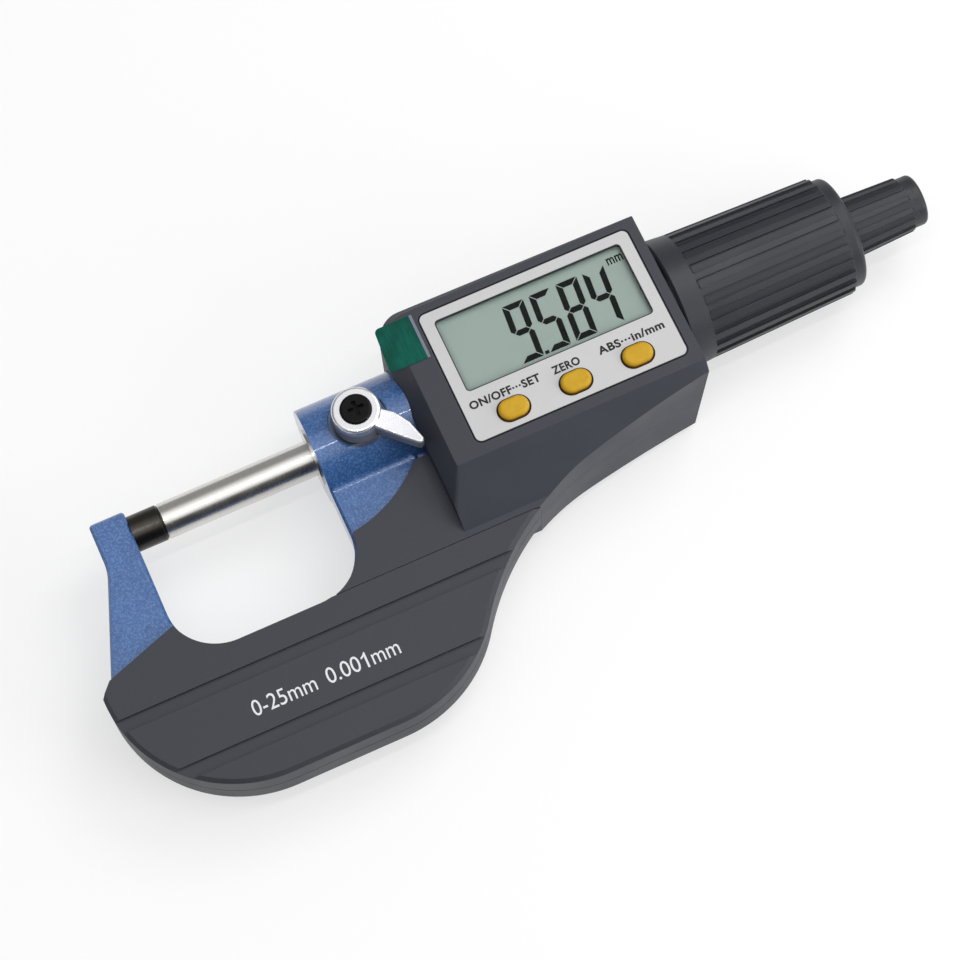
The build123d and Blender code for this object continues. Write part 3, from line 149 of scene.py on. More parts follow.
class Wire:
    """A shader socket that takes part in Python arithmetic."""

    def __init__(self, sheet: "Sheet", socket: bpy.types.NodeSocket) -> None:
        """Keeps the socket and the sheet it belongs to."""
        self.sheet = sheet
        self.socket = socket

    def __add__(self, other: Any) -> "Wire":
        """Returns self + other."""
        return self.sheet.math("ADD", self, other)

    def __radd__(self, other: Any) -> "Wire":
        """Returns other + self."""
        return self.sheet.math("ADD", other, self)

    def __sub__(self, other: Any) -> "Wire":
        """Returns self - other."""
        return self.sheet.math("SUBTRACT", self, other)

    def __rsub__(self, other: Any) -> "Wire":
        """Returns other - self."""
        return self.sheet.math("SUBTRACT", other, self)

    def __mul__(self, other: Any) -> "Wire":
        """Returns self * other."""
        return self.sheet.math("MULTIPLY", self, other)

    def __rmul__(self, other: Any) -> "Wire":
        """Returns other * self."""
        return self.sheet.math("MULTIPLY", other, self)

    def __truediv__(self, other: Any) -> "Wire":
        """Returns self / other."""
        return self.sheet.math("DIVIDE", self, other)

    def __rtruediv__(self, other: Any) -> "Wire":
        """Returns other / self."""
        return self.sheet.math("DIVIDE", other, self)

    def __pow__(self, other: Any) -> "Wire":
        """Returns self to the power of other."""
        return self.sheet.math("POWER", self, other)

    def __rpow__(self, other: Any) -> "Wire":
        """Returns other to the power of self."""
        return self.sheet.math("POWER", other, self)

    def __gt__(self, other: Any) -> "Wire":
        """Returns 1 where self is above other, else 0."""
        return self.sheet.math("GREATER_THAN", self, other)

    def __lt__(self, other: Any) -> "Wire":
        """Returns 1 where self is below other, else 0."""
        return self.sheet.math("LESS_THAN", self, other)

    def ramped(self, low: float, high: float, out_low: float = 0.0, out_high: float = 1.0) -> "Wire":
        """Maps a span of values smoothly onto another.

        Args:
            low: Value that maps to out_low.
            high: Value that maps to out_high.
            out_low: Result at and below low.
            out_high: Result at and above high.

        Returns:
            The mapped value, held between the two results.
        """
        settings = {"interpolation_type": "SMOOTHSTEP", "clamp": True}
        values = {"Value": self, "From Min": low, "From Max": high, "To Min": out_low, "To Max": out_high}
        return self.sheet.node("ShaderNodeMapRange", settings, values)


class Sheet:
    """The node sheet of one material or world while it is being drawn."""

    def __init__(self, tree: bpy.types.NodeTree) -> None:
        """Clears the tree and keeps it."""
        self.tree = tree
        tree.nodes.clear()

    def node(self, kind: str, settings: dict[str, Any], inputs: dict[Any, Any], output: Any = 0) -> Wire:
        """Adds one node of any kind.

        Args:
            kind: The node's type name.
            settings: Its properties, set first.
            inputs: Values or wires for its sockets, by name or number.
            output: Name or number of the socket that is returned.

        Returns:
            The chosen output as a wire.
        """
        made = self.tree.nodes.new(kind)
        for name, value in settings.items():
            setattr(made, name, value)
        for name, value in inputs.items():
            if isinstance(value, Wire):
                self.tree.links.new(value.socket, made.inputs[name])
            else:
                made.inputs[name].default_value = value
        return Wire(self, made.outputs[output] if made.outputs else None)

    def math(self, operation: str, first: Any, second: Any) -> Wire:
        """Adds one Math node.

        Args:
            operation: The node's operation.
            first: Number or wire for its first socket.
            second: Number or wire for its second socket.

        Returns:
            The node's result.
        """
        return self.node("ShaderNodeMath", {"operation": operation}, {0: first, 1: second})

    def place(self) -> Wire:
        """Returns the point on the object, in metres."""
        return self.node("ShaderNodeTexCoord", {}, {}, "Object")

    def axis(self, name: str) -> Wire:
        """Returns one coordinate of the point on the object, in metres."""
        return self.node("ShaderNodeSeparateXYZ", {}, {"Vector": self.place()}, name)

    def between(self, low: float, high: float) -> Wire:
        """Fades from one height to another.

        Args:
            low: Height that gives 0, in spindle coordinates and mm.
            high: Height that gives 1.

        Returns:
            The fade, held between 0 and 1.
        """
        return self.axis("Z").ramped(height(low), height(high))

    def noise(self, size: float, detail: float,
              stretch: tuple[float, float, float] = (1.0, 1.0, 1.0)) -> Wire:
        """Adds fractal noise on object coordinates.

        Args:
            size: Width of its largest blotches in mm.
            detail: Number of finer layers.
            stretch: How many times finer it is along each axis.

        Returns:
            Values round 0.5.
        """
        spots = self.node("ShaderNodeMapping", {}, {"Vector": self.place(), "Scale": stretch})
        values = {"Vector": spots, "Scale": 1.0 / (size * MM), "Detail": detail, "Roughness": 0.55}
        return self.node("ShaderNodeTexNoise", {"noise_dimensions": "3D"}, values)

    def mottled(self, mottle: Mottle, unit: float = 1.0) -> Wire:
        """Adds blotches of noise on object coordinates.

        Args:
            mottle: Their width, fineness, band of values and stretch.
            unit: What the width is counted in, in mm.

        Returns:
            1 on the blotches and 0 between them.
        """
        return self.noise(mottle.size * unit, mottle.detail, mottle.stretch).ramped(mottle.low, mottle.high)

    def cells(self, size: float, spread: float = 1.0, feature: str = "SMOOTH_F1") -> Wire:
        """Adds rounded cells on object coordinates.

        Args:
            size: Width of a cell in mm.
            spread: How irregular the cells are.
            feature: Which distance of the pattern is given.

        Returns:
            Distance from each cell's middle, in cells.
        """
        values = {"Vector": self.place(), "Scale": 1.0 / (size * MM), "Randomness": spread}
        return self.node("ShaderNodeTexVoronoi", {"feature": feature}, values, "Distance")

    def outside(self, box: RoundedBox) -> Wire:
        """Measures how far a point lies outside a rounded box seen from above.

        Args:
            box: The box in spindle coordinates.

        Returns:
            The distance in mm, negative inside the box.
        """
        middle = at(box.x, box.y, 0.0)
        across = self._beyond("X", middle.x, box.half_width - box.radius)
        along = self._beyond("Y", middle.y, box.half_height - box.radius)
        corner = (self.math("MAXIMUM", across, 0.0) ** 2.0 + self.math("MAXIMUM", along, 0.0) ** 2.0) ** 0.5
        inner = self.math("MINIMUM", self.math("MAXIMUM", across, along), 0.0)
        return corner + inner - box.radius

    def _beyond(self, axis: str, middle: float, half: float) -> Wire:
        """Returns how far a coordinate lies beyond half a width from the middle, in mm."""
        return self.math("ABSOLUTE", (self.axis(axis) - middle) / MM, 0.0) - half

    def level_line(self, level: float, width: float) -> Wire:
        """Marks a thin line at one height.

        Args:
            level: Height of the line in spindle coordinates, in mm.
            width: Width of the line in mm.

        Returns:
            1 on the line and 0 off it.
        """
        soft = 0.04
        return self._beyond("Z", height(level), width / 2.0).ramped(soft, -soft)

    def blend(self, factor: Any, first: Any, second: Any) -> Wire:
        """Mixes two colours.

        Args:
            factor: 0 gives the first and 1 the second.
            first: Colour or wire.
            second: Colour or wire.

        Returns:
            The mixed colour.
        """
        values = {0: factor, 6: self._colour(first), 7: self._colour(second)}
        return self.node("ShaderNodeMix", {"data_type": "RGBA"}, values, 2)

    @staticmethod
    def _colour(value: Any) -> Any:
        """Returns a tint as its linear colour, and anything else as it is."""
        return value.linear() if isinstance(value, Tint) else value

    def rounded(self, radius: float) -> Wire:
        """Returns the normal as if edges had a small radius, in mm."""
        return self.node("ShaderNodeBevel", {"samples": BEVEL_SAMPLES}, {"Radius": radius * MM})

    def edge_wear_and_light(self, radius: float) -> Wire:
        """Finds the edges, which some finishes rub bare and others give a painted highlight or painted shade.

        Args:
            radius: Width of the edge band in mm.

        Returns:
            1 on edges and 0 on plain surfaces.
        """
        flat = self.node("ShaderNodeNewGeometry", {}, {}, "Normal")
        settings = {"operation": "DOT_PRODUCT"}
        likeness = self.node("ShaderNodeVectorMath", settings, {0: self.rounded(radius), 1: flat}, "Value")
        alike, turned_away = 0.98, 0.80
        return likeness.ramped(alike, turned_away)

    def bump(self, height: Wire, depth: float, normal: Wire | None = None) -> Wire:
        """Turns a height pattern into a normal.

        Args:
            height: Pattern in 0 to 1.
            depth: Relief of the pattern in mm.
            normal: Normal that it is laid on, if not the plain one.

        Returns:
            The bumped normal.
        """
        values: dict[Any, Any] = {"Height": height, "Distance": depth * MM, "Strength": 1.0}
        if normal is not None:
            values["Normal"] = normal
        return self.node("ShaderNodeBump", {}, values)

    def surface(self, inputs: dict[str, Any]) -> None:
        """Ends the sheet with one principled surface.

        Args:
            inputs: Values or wires for the shader's sockets.
        """
        shader = self.node("ShaderNodeBsdfPrincipled", {}, {k: self._colour(v) for k, v in inputs.items()})
        self.node("ShaderNodeOutputMaterial", {}, {"Surface": shader})


@dataclass(frozen=True)
class Finish:
    """What every finish has: a name and a way to draw itself."""

    name: str

    def draw(self, sheet: Sheet) -> None:
        """Draws the finish on an empty sheet."""
        raise NotImplementedError(self.name)

    def material(self) -> bpy.types.Material:
        """Returns the finish as a material, made once.

        Returns:
            The material of this finish.
        """
        known = bpy.data.materials.get("finish_" + self.name)
        if known is not None:
            return known
        made = bpy.data.materials.new("finish_" + self.name)
        made.use_nodes = True
        self.draw(Sheet(made.node_tree))
        return made

    def dress(self, *nodes: str) -> None:
        """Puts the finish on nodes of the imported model.

        Args:
            nodes: Names of the nodes.
        """
        for name in nodes:
            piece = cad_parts[name]
            if not piece.material_slots:
                piece.data.materials.append(None)
            for place in piece.material_slots:
                place.material = self.material()


@dataclass(frozen=True)
class HammeredPaint(Finish):
    """Stoved hammer paint: dimpled, with lighter flecks in a glossy blue."""

    base: Tint = Tint(58, 102, 164)
    fleck: Tint = Tint(112, 156, 206)
    deep: Tint = Tint(30, 62, 118)
    shade: Tint = Tint(12, 20, 36)
    cell: float = 0.42
    flecks: Mottle = Mottle(0.9, 2.0, 0.44, 0.66, 0.36)
    drift: Mottle = Mottle(9.0, 2.0, 0.35, 0.65, 0.25)
    dimple_band: tuple[float, float] = (0.20, 0.80)
    dimple_share: float = 0.35
    wave: float = 1.5
    wave_share: float = 0.75
    relief: float = 0.115
    edge: float = 0.25
    # Painted shade: the frame's edges are darkened towards deep, as their chamfers fall in shade.
    edge_wear_and_shade: float = 0.15
    edge_wear_and_shade_share: float = 0.45
    # Painted shadow: the lock's spot face on the boss's top is darkened towards shade, under the lever's
    # ring.
    lever_shadow_heights: tuple[float, float] = (5.0, 6.0)
    lever_shadow_band: tuple[float, float] = (0.20, -0.25)
    lever_shadow_share: float = 0.85

    def draw(self, sheet: Sheet) -> None:
        """Draws mottling, dimples, the gloss over them, painted shade along the edges and a painted shadow on
        the lock's spot face, under the lever's ring.
        """
        cells = sheet.cells(self.cell)
        flecks = sheet.mottled(self.flecks, self.cell)
        colour = sheet.blend(sheet.mottled(self.drift) * self.drift.share, self.base, self.deep)
        colour = sheet.blend(cells.ramped(*self.dimple_band) * self.dimple_share, colour, self.deep)
        colour = sheet.blend(flecks * self.flecks.share, colour, self.fleck)
        # Painted shade along the edges, darker towards deep.
        colour = sheet.blend(sheet.edge_wear_and_light(self.edge_wear_and_shade) * self.edge_wear_and_shade_share, colour, self.deep)
        # Painted shadow under the lever's ring, on the spot face.
        lever_shadow = sheet.outside(SPOT_FACE).ramped(*self.lever_shadow_band) * sheet.between(*self.lever_shadow_heights)
        dimples = sheet.noise(self.wave, 1.0) * self.wave_share + cells * (1.0 - self.wave_share)
        sheet.surface({
            "Base Color": sheet.blend(lever_shadow * self.lever_shadow_share, colour, self.shade),
            "Metallic": 0.10,
            "Roughness": flecks * 0.10 + 0.34,
            "Coat Weight": 0.85,
            "Coat Roughness": 0.06,
            "Normal": sheet.bump(dimples, self.relief, sheet.rounded(self.edge)),
        })


@dataclass(frozen=True)
class MouldedPlastic(Finish):
    """Spark-eroded moulded plastic: an even fine grain with painted highlights along the edges."""

    base: Tint = Tint(55, 58, 67)
    grain: float = 0.16
    flow: Mottle = Mottle(14.0, 3.0, 0.30, 0.70, 0.5)
    specks: Mottle = Mottle(2.2, 1.0, 0.60, 0.75, 0.22)
    depth: float = 0.010
    rough: float = 0.41
    edge: float = 0.18
    # Painted highlight: how strongly the edges are lightened.
    edge_highlight: float = 0.30
    seam: float | None = None
    seam_width: float = 0.34

    def draw(self, sheet: Sheet) -> None:
        """Draws grain, faint flow marks, painted highlights along the edges and the parting line, if there is
        one.
        """
        grain = sheet.noise(self.grain, 2.0)
        flow = sheet.mottled(self.flow)
        specks = sheet.mottled(self.specks, self.grain)
        colour = sheet.blend(flow * self.flow.share, self.base.shade(0.95), self.base.shade(1.05))
        colour = sheet.blend(specks * self.specks.share, colour, self.base.shade(1.25))
        # Painted highlight: a lighter line along the edges.
        colour = sheet.blend(sheet.edge_wear_and_light(self.edge) * self.edge_highlight, colour, self.base.shade(1.7))
        if self.seam is not None:
            line = sheet.level_line(self.seam, self.seam_width)
            colour = sheet.blend(line, colour, self.base.shade(0.25))
        sheet.surface({
            "Base Color": colour,
            "Roughness": flow * 0.10 + grain * 0.12 + self.rough,
            "Specular IOR Level": 0.42,
            "Normal": sheet.bump(grain, self.depth, sheet.rounded(self.edge)),
        })


@dataclass(frozen=True)
class TurnedSteel(Finish):
    """Steel turned or ground round the spindle axis, with fine ring marks."""

    base: Tint = Tint(196, 196, 196)
    rings: float = 0.07
    along_rings: float = 0.04
    ring_band: tuple[float, float] = (0.30, 0.70)
    ring_share: float = 0.20
    stains: Mottle = Mottle(5.0, 4.0, 0.42, 0.70)
    scratches: Mottle = Mottle(0.35, 3.0, 0.62, 0.70, 0.06, (0.12, 1.0, 1.0))
    depth: float = 0.0022
    rough: float = 0.17
    stain: float = 0.06

    def draw(self, sheet: Sheet) -> None:
        """Draws ring marks, faint handling stains and fine scratches."""
        rings = sheet.noise(self.rings, 2.0, (1.0, self.along_rings, self.along_rings))
        stains = sheet.mottled(self.stains)
        scratches = sheet.mottled(self.scratches)
        colour = sheet.blend(stains * self.stain, self.base, self.base.shade(0.72))
        colour = sheet.blend(rings.ramped(*self.ring_band) * self.ring_share, colour, self.base.shade(0.86))
        colour = sheet.blend(scratches * self.scratches.share, colour, self.base.shade(1.1))
        sheet.surface({
            "Base Color": colour,
            "Metallic": 1.0,
            "Roughness": rings * 0.06 + stains * 0.04 + self.rough,
            "Normal": sheet.bump(rings, self.depth, sheet.rounded(0.08)),
        })


@dataclass(frozen=True)
class PolishedCasting(Finish):
    """A cast piece that was plated and rumbled to a satin shine."""

    base: Tint = Tint(238, 238, 242)
    # Painted shade: the colour that the lower flanks darken towards.
    under: Tint = Tint(112, 113, 120)
    rough: float = 0.22
    haze: Mottle = Mottle(3.0, 3.0, 0.40, 0.70, 0.12)
    flank_heights: tuple[float, float] = (12.6, 10.6)
    flank_shade_share: float = 0.85

    def draw(self, sheet: Sheet) -> None:
        """Draws faint hazy patches, and flanks that are duller and carry painted shade, darker towards the
        bottom.
        """
        haze = sheet.mottled(self.haze)
        # The lower flanks are duller, rougher and less metallic, and carry painted shade, darker towards the
        # bottom.
        dull_shaded_flank = sheet.between(*self.flank_heights)
        colour = sheet.blend(haze * self.haze.share, self.base, self.base.shade(0.95))
        sheet.surface({
            "Base Color": sheet.blend(dull_shaded_flank * self.flank_shade_share, colour, self.under),
            "Metallic": 0.85 - dull_shaded_flank * 0.60,
            "Roughness": haze * 0.06 + dull_shaded_flank * 0.15 + self.rough,
            "Normal": sheet.bump(haze, 0.004),
        })


@dataclass(frozen=True)
class BlackedSteel(Finish):
    """Steel blacked in oil, thin on its edges, with painted shade in its recess."""

    base: Tint = Tint(12, 12, 13)
    bare: Tint = Tint(88, 88, 86)
    clouds: Mottle = Mottle(0.9, 3.0, 0.35, 0.70, 0.4)
    edge: float = 0.10
    edge_wear_and_shade_share: float = 0.30
    # Painted shade: between these heights the recess darkens almost to black.
    recess_shade_heights: tuple[float, float] = (13.25, 12.95)
    recess_shade_share: float = 0.85

    def draw(self, sheet: Sheet) -> None:
        """Draws an oily sheen, cloudy patches, bare edges and painted shade in the recess."""
        clouds = sheet.mottled(self.clouds)
        edge_wear_and_shade = sheet.edge_wear_and_light(self.edge)
        # Painted shade in the screw's recess.
        painted_recess_shade = sheet.between(*self.recess_shade_heights)
        colour = sheet.blend(clouds * self.clouds.share, self.base, self.base.shade(1.5))
        # Rubbed bare steel along the edges.
        colour = sheet.blend(edge_wear_and_shade * self.edge_wear_and_shade_share, colour, self.bare)
        sheet.surface({
            "Base Color": sheet.blend(painted_recess_shade * self.recess_shade_share, colour, self.base.shade(0.15)),
            "Metallic": edge_wear_and_shade * 0.5 + 0.10,
            "Roughness": clouds * 0.12 + 0.22,
            "Specular IOR Level": 0.15,
            "Normal": sheet.bump(sheet.noise(0.15, 2.0), 0.003, sheet.rounded(self.edge)),
        })


@dataclass(frozen=True)
class SatinOverlay(Finish):
    """The display's light moulded surround, satin with a trace of dust."""

    base: Tint = Tint(201, 201, 202)
    aged: Tint = Tint(208, 208, 206)
    # Painted shade: the dark colour laid in the gaps round the window, the panel and the keys.
    line: Tint = Tint(24, 25, 27)
    grain: float = 0.20
    grain_band: tuple[float, float] = (0.55, 0.75)
    grain_share: float = 0.10
    age: Mottle = Mottle(11.0, 3.0, 0.40, 0.75, 0.30)
    # Widths and fades of the painted shade in the gaps.
    gap_shade_width: float = 0.14
    gap_shade_fade: float = 0.06
    key_shade_width: float = 0.03
    key_shade_fade: float = 0.05

    def draw(self, sheet: Sheet) -> None:
        """Draws a fine texture, dusty patches and painted shade: a dark line along each cut edge, in the gaps
        round the window, the panel and the keys.
        """
        grain = sheet.noise(self.grain, 2.0)
        colour = sheet.blend(sheet.mottled(self.age) * self.age.share, self.base, self.aged)
        colour = sheet.blend(grain.ramped(*self.grain_band) * self.grain_share, colour, self.base.shade(0.9))
        # Painted shade in the gap round the window, along the panel's border and round each key.
        gap_shade_lines = [
            sheet.outside(WINDOW).ramped(self.gap_shade_width + self.gap_shade_fade, self.gap_shade_width),
            sheet.outside(PANEL).ramped(-self.gap_shade_width - self.gap_shade_fade, -self.gap_shade_width),
            *(sheet.outside(key).ramped(self.key_shade_width + self.key_shade_fade, self.key_shade_width) for key in KEYS),
        ]
        for line in gap_shade_lines:
            colour = sheet.blend(line, colour, self.line)
        sheet.surface({
            "Base Color": colour,
            "Roughness": grain * 0.10 + 0.36,
            "Specular IOR Level": 0.45,
            "Normal": sheet.bump(grain, 0.004, sheet.rounded(0.12)),
        })


@dataclass(frozen=True)
class ClearPlastic(Finish):
    """A clear sheet that only its gloss and a little haze give away."""

    base: Tint = Tint(236, 240, 240)
    smears: Mottle = Mottle(7.0, 4.0, 0.45, 0.75, 0.4)
    haze: float = 0.004
    rough: float = 0.05

    def draw(self, sheet: Sheet) -> None:
        """Draws haze that is thicker in a few smears."""
        smears = sheet.mottled(self.smears)
        sheet.surface({
            "Base Color": self.base,
            "Alpha": smears * self.haze * self.smears.share + self.haze,
            "Roughness": smears * 0.12 + self.rough,
            "IOR": 1.49,
            "Normal": sheet.bump(sheet.noise(12.0, 1.0), 0.002),
        })


@dataclass(frozen=True)
class CrystalCell(Finish):
    """The grey-green polariser of a liquid crystal display."""

    base: Tint = Tint(151, 168, 161)
    # Painted shade: the colour that the field darkens to near the window's edge.
    window_shade: Tint = Tint(118, 134, 128)
    window_shade_span: tuple[float, float] = (-1.3, 0.3)
    window_shade_share: float = 0.75
    drift: Mottle = Mottle(16.0, 2.0, 0.35, 0.65, 0.20)
    sparkle: float = 0.10
    sparkle_band: tuple[float, float] = (0.4, 0.8)
    sparkle_share: float = 0.06

    def draw(self, sheet: Sheet) -> None:
        """Draws the even field, painted shade darker towards the window's edge and a fine sparkle."""
        # Painted shade near the window's edge.
        window_shade = sheet.outside(WINDOW).ramped(*self.window_shade_span)
        sparkle = sheet.noise(self.sparkle, 1.0)
        glints = sparkle.ramped(*self.sparkle_band) * self.sparkle_share
        colour = sheet.blend(sheet.mottled(self.drift) * self.drift.share, self.base, self.base.shade(1.05))
        colour = sheet.blend(window_shade * self.window_shade_share, colour, self.window_shade)
        colour = sheet.blend(glints, colour, self.base.shade(1.3))
        sheet.surface({
            "Base Color": colour,
            "Roughness": sparkle * 0.10 + 0.34,
            "Specular IOR Level": 0.35,
            "Normal": sheet.bump(sparkle, 0.002),
        })


@dataclass(frozen=True)
class SoftRubber(Finish):
    """Moulded silicone rubber, satin with faint blotches."""

    base: Tint = Tint(206, 163, 38)
    dark: Tint = Tint(190, 141, 26)
    # Painted shade: the colour that the lower part darkens to.
    foot_shade: Tint = Tint(150, 98, 14)
    foot_shade_heights: tuple[float, float] = (13.25, 12.75)
    foot_shade_share: float = 0.8
    blotches: Mottle = Mottle(1.4, 3.0, 0.35, 0.70, 0.35)
    skin: float = 0.12
    skin_band: tuple[float, float] = (0.60, 0.80)
    skin_share: float = 0.12
    rough: float = 0.42

    def draw(self, sheet: Sheet) -> None:
        """Draws blotches, a fine skin and painted shade, darker towards the bottom."""
        blotches = sheet.mottled(self.blotches)
        skin = sheet.noise(self.skin, 2.0)
        colour = sheet.blend(blotches * self.blotches.share, self.base, self.dark)
        colour = sheet.blend(skin.ramped(*self.skin_band) * self.skin_share, colour, self.base.shade(1.10))
        # Painted shade, darker towards the bottom.
        colour = sheet.blend(sheet.between(*self.foot_shade_heights) * self.foot_shade_share, colour, self.foot_shade)
        sheet.surface({
            "Base Color": colour,
            "Roughness": blotches * 0.12 + self.rough,
            "Specular IOR Level": 0.22,
            "Normal": sheet.bump(skin, 0.006, sheet.rounded(0.15)),
        })


@dataclass(frozen=True)
class BrushedTab(Finish):
    """The pull tab of the protective film: brushed green, a pale strip, then bare clear film."""

    base: Tint = Tint(8, 92, 78)
    dark: Tint = Tint(3, 58, 48)
    strip: Tint = Tint(124, 126, 142)
    strip_from: float = 52.45
    strip_to: float = 52.95
    strokes: Mottle = Mottle(0.30, 3.0, 0.35, 0.70, 0.45, (1.0, 0.10, 1.0))
    middle: Mottle = Mottle(4.5, 1.0, 0.40, 0.62, 0.5)
    haze: float = 0.02

    def draw(self, sheet: Sheet) -> None:
        """Draws upright brush strokes, a darker middle, the strip and the clear end."""
        strokes = sheet.mottled(self.strokes)
        right = sheet.axis("X")
        pale = right > at(self.strip_from, 0.0, 0.0).x
        colour = sheet.blend(strokes * self.strokes.share, self.base, self.dark)
        colour = sheet.blend(sheet.mottled(self.middle) * self.middle.share, colour, self.dark)
        sheet.surface({
            "Base Color": sheet.blend(pale, colour, self.strip),
            "Alpha": (right < at(self.strip_to, 0.0, 0.0).x) * (1.0 - self.haze) + self.haze,
            "Roughness": strokes * 0.15 + 0.30,
            "Specular IOR Level": 0.12,
            "Normal": sheet.bump(strokes, 0.004, sheet.rounded(0.06)),
        })


@dataclass(frozen=True)
class Print(Finish):
    """Ink laid on a surface, a little uneven in cover."""

    base: Tint = Tint(22, 22, 24)
    thin: Tint = Tint(60, 60, 62)
    spots: Mottle = Mottle(0.25, 2.0, 0.58, 0.80, 0.4)
    rough: float = 0.45
    gloss: float = 0.35

    def draw(self, sheet: Sheet) -> None:
        """Draws the ink with thinner spots."""
        spots = sheet.mottled(self.spots)
        sheet.surface({
            "Base Color": sheet.blend(spots * self.spots.share, self.base, self.thin),
            "Roughness": spots * 0.15 + self.rough,
            "Specular IOR Level": self.gloss,
        })


@dataclass(frozen=True)
class BoardLacquer(Finish):
    """Green lacquer over the copper of a circuit board."""

    base: Tint = Tint(20, 84, 48)
    copper: Tint = Tint(52, 122, 74)
    track: float = 1.4
    track_band: tuple[float, float] = (0.10, 0.06)
    track_share: float = 0.7

    def draw(self, sheet: Sheet) -> None:
        """Draws tracks that show through the lacquer as paler lines."""
        tracks = sheet.cells(self.track, 0.35, "DISTANCE_TO_EDGE").ramped(*self.track_band)
        weave = sheet.noise(0.30, 1.0)
        sheet.surface({
            "Base Color": sheet.blend(tracks * self.track_share, self.base, self.copper),
            "Roughness": weave * 0.12 + 0.26,
            "Coat Weight": 0.4,
            "Normal": sheet.bump(tracks, 0.020),
        })


@dataclass(frozen=True)
class PlatedMetal(Finish):
    """Plated or turned soft metal, with a fine grain and dull patches."""

    base: Tint = Tint(206, 190, 130)
    tarnish: Mottle = Mottle(2.2, 3.0, 0.45, 0.75, 0.35)
    rough: float = 0.24
    grain: float = 0.12

    def draw(self, sheet: Sheet) -> None:
        """Draws grain and tarnish."""
        grain = sheet.noise(self.grain, 2.0)
        tarnish = sheet.mottled(self.tarnish)
        sheet.surface({
            "Base Color": sheet.blend(tarnish * self.tarnish.share, self.base, self.base.shade(0.72)),
            "Metallic": 1.0,
            "Roughness": tarnish * 0.15 + grain * 0.08 + self.rough,
            "Normal": sheet.bump(grain, 0.003, sheet.rounded(0.08)),
        })


HAMMER_BLUE = HammeredPaint("hammer_blue")
HOUSING_GREY = MouldedPlastic("housing_grey", edge=0.14, edge_highlight=0.60)
COVER_GREY = MouldedPlastic("cover_grey", base=Tint(56, 59, 67), grain=0.18, seam=0.0)
GRIP_BLACK = MouldedPlastic("grip_black", base=Tint(47, 49, 55), grain=0.14, rough=0.35, edge_highlight=0.55)
GROUND_STEEL = TurnedSteel("ground_steel", base=Tint(222, 220, 216), rough=0.21, depth=0.0010)
SATIN_STEEL = TurnedSteel("satin_steel", base=Tint(182, 182, 184), rough=0.29, depth=0.003)
DARK_STEEL = TurnedSteel("dark_steel", base=Tint(74, 71, 67), rough=0.27, stain=0.4)
LEVER_METAL = PolishedCasting("lever_metal")
BLACK_SCREW = BlackedSteel("black_screw")
PANEL_GREY = SatinOverlay("panel_grey")
CLEAR_PANE = ClearPlastic("clear_pane")
CLEAR_FILM = ClearPlastic("clear_film", haze=0.001, rough=0.08)
CRYSTAL = CrystalCell("crystal")
BUTTON_YELLOW = SoftRubber("button_yellow")
STRIP_RUBBER = SoftRubber("strip_rubber", base=Tint(62, 62, 66), dark=Tint(40, 40, 42),
                          foot_shade=Tint(34, 34, 36), rough=0.6)
TAB_GREEN = BrushedTab("tab_green")
BOARD_GREEN = BoardLacquer("board_green")
CONTACT_METAL = PlatedMetal("contact_metal")
TURNED_BRASS = PlatedMetal("turned_brass", base=Tint(196, 160, 84))
CELL_STEEL = PlatedMetal("cell_steel", base=Tint(188, 188, 190), rough=0.28, grain=0.3)
BLACK_INK = Print("black_ink")
WHITE_INK = Print("white_ink", base=Tint(232, 233, 235), thin=Tint(180, 182, 186), rough=0.5)
CRYSTAL_INK = Print("crystal_ink", base=Tint(8, 10, 10), thin=Tint(12, 15, 14), gloss=0.05)


@dataclass
class Piece:
    """A new piece of the scene: its name, slot, finish and body."""

    name: str
    slot: Slot
    finish: Finish
    body: Body = Body.INSTRUMENT

    def settle(self, mesh: bpy.types.Mesh) -> bpy.types.Object:
        """Puts a finished mesh into the scene.

        Args:
            mesh: The mesh, already in its place in the shared frame.

        Returns:
            The object that rides on its body.
        """
        mesh.materials.clear()
        mesh.materials.append(self.finish.material())
        made = bpy.data.objects.new(self.name, mesh)
        bpy.context.scene.collection.objects.link(made)
        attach(made, self.body.value)
        LOG.info("piece %s on %s", self.name, self.body.value)
        return made

    def from_bmesh(self, shape: bmesh.types.BMesh) -> bpy.types.Object:
        """Closes a bmesh and puts it into the scene.

        Args:
            shape: The shape, already in its place.

        Returns:
            The new object.
        """
        bmesh.ops.remove_doubles(shape, verts=shape.verts, dist=MERGE_DISTANCE)
        bmesh.ops.recalc_face_normals(shape, faces=shape.faces)
        mesh = bpy.data.meshes.new(self.name)
        shape.to_mesh(mesh)
        shape.free()
        return self.settle(mesh)


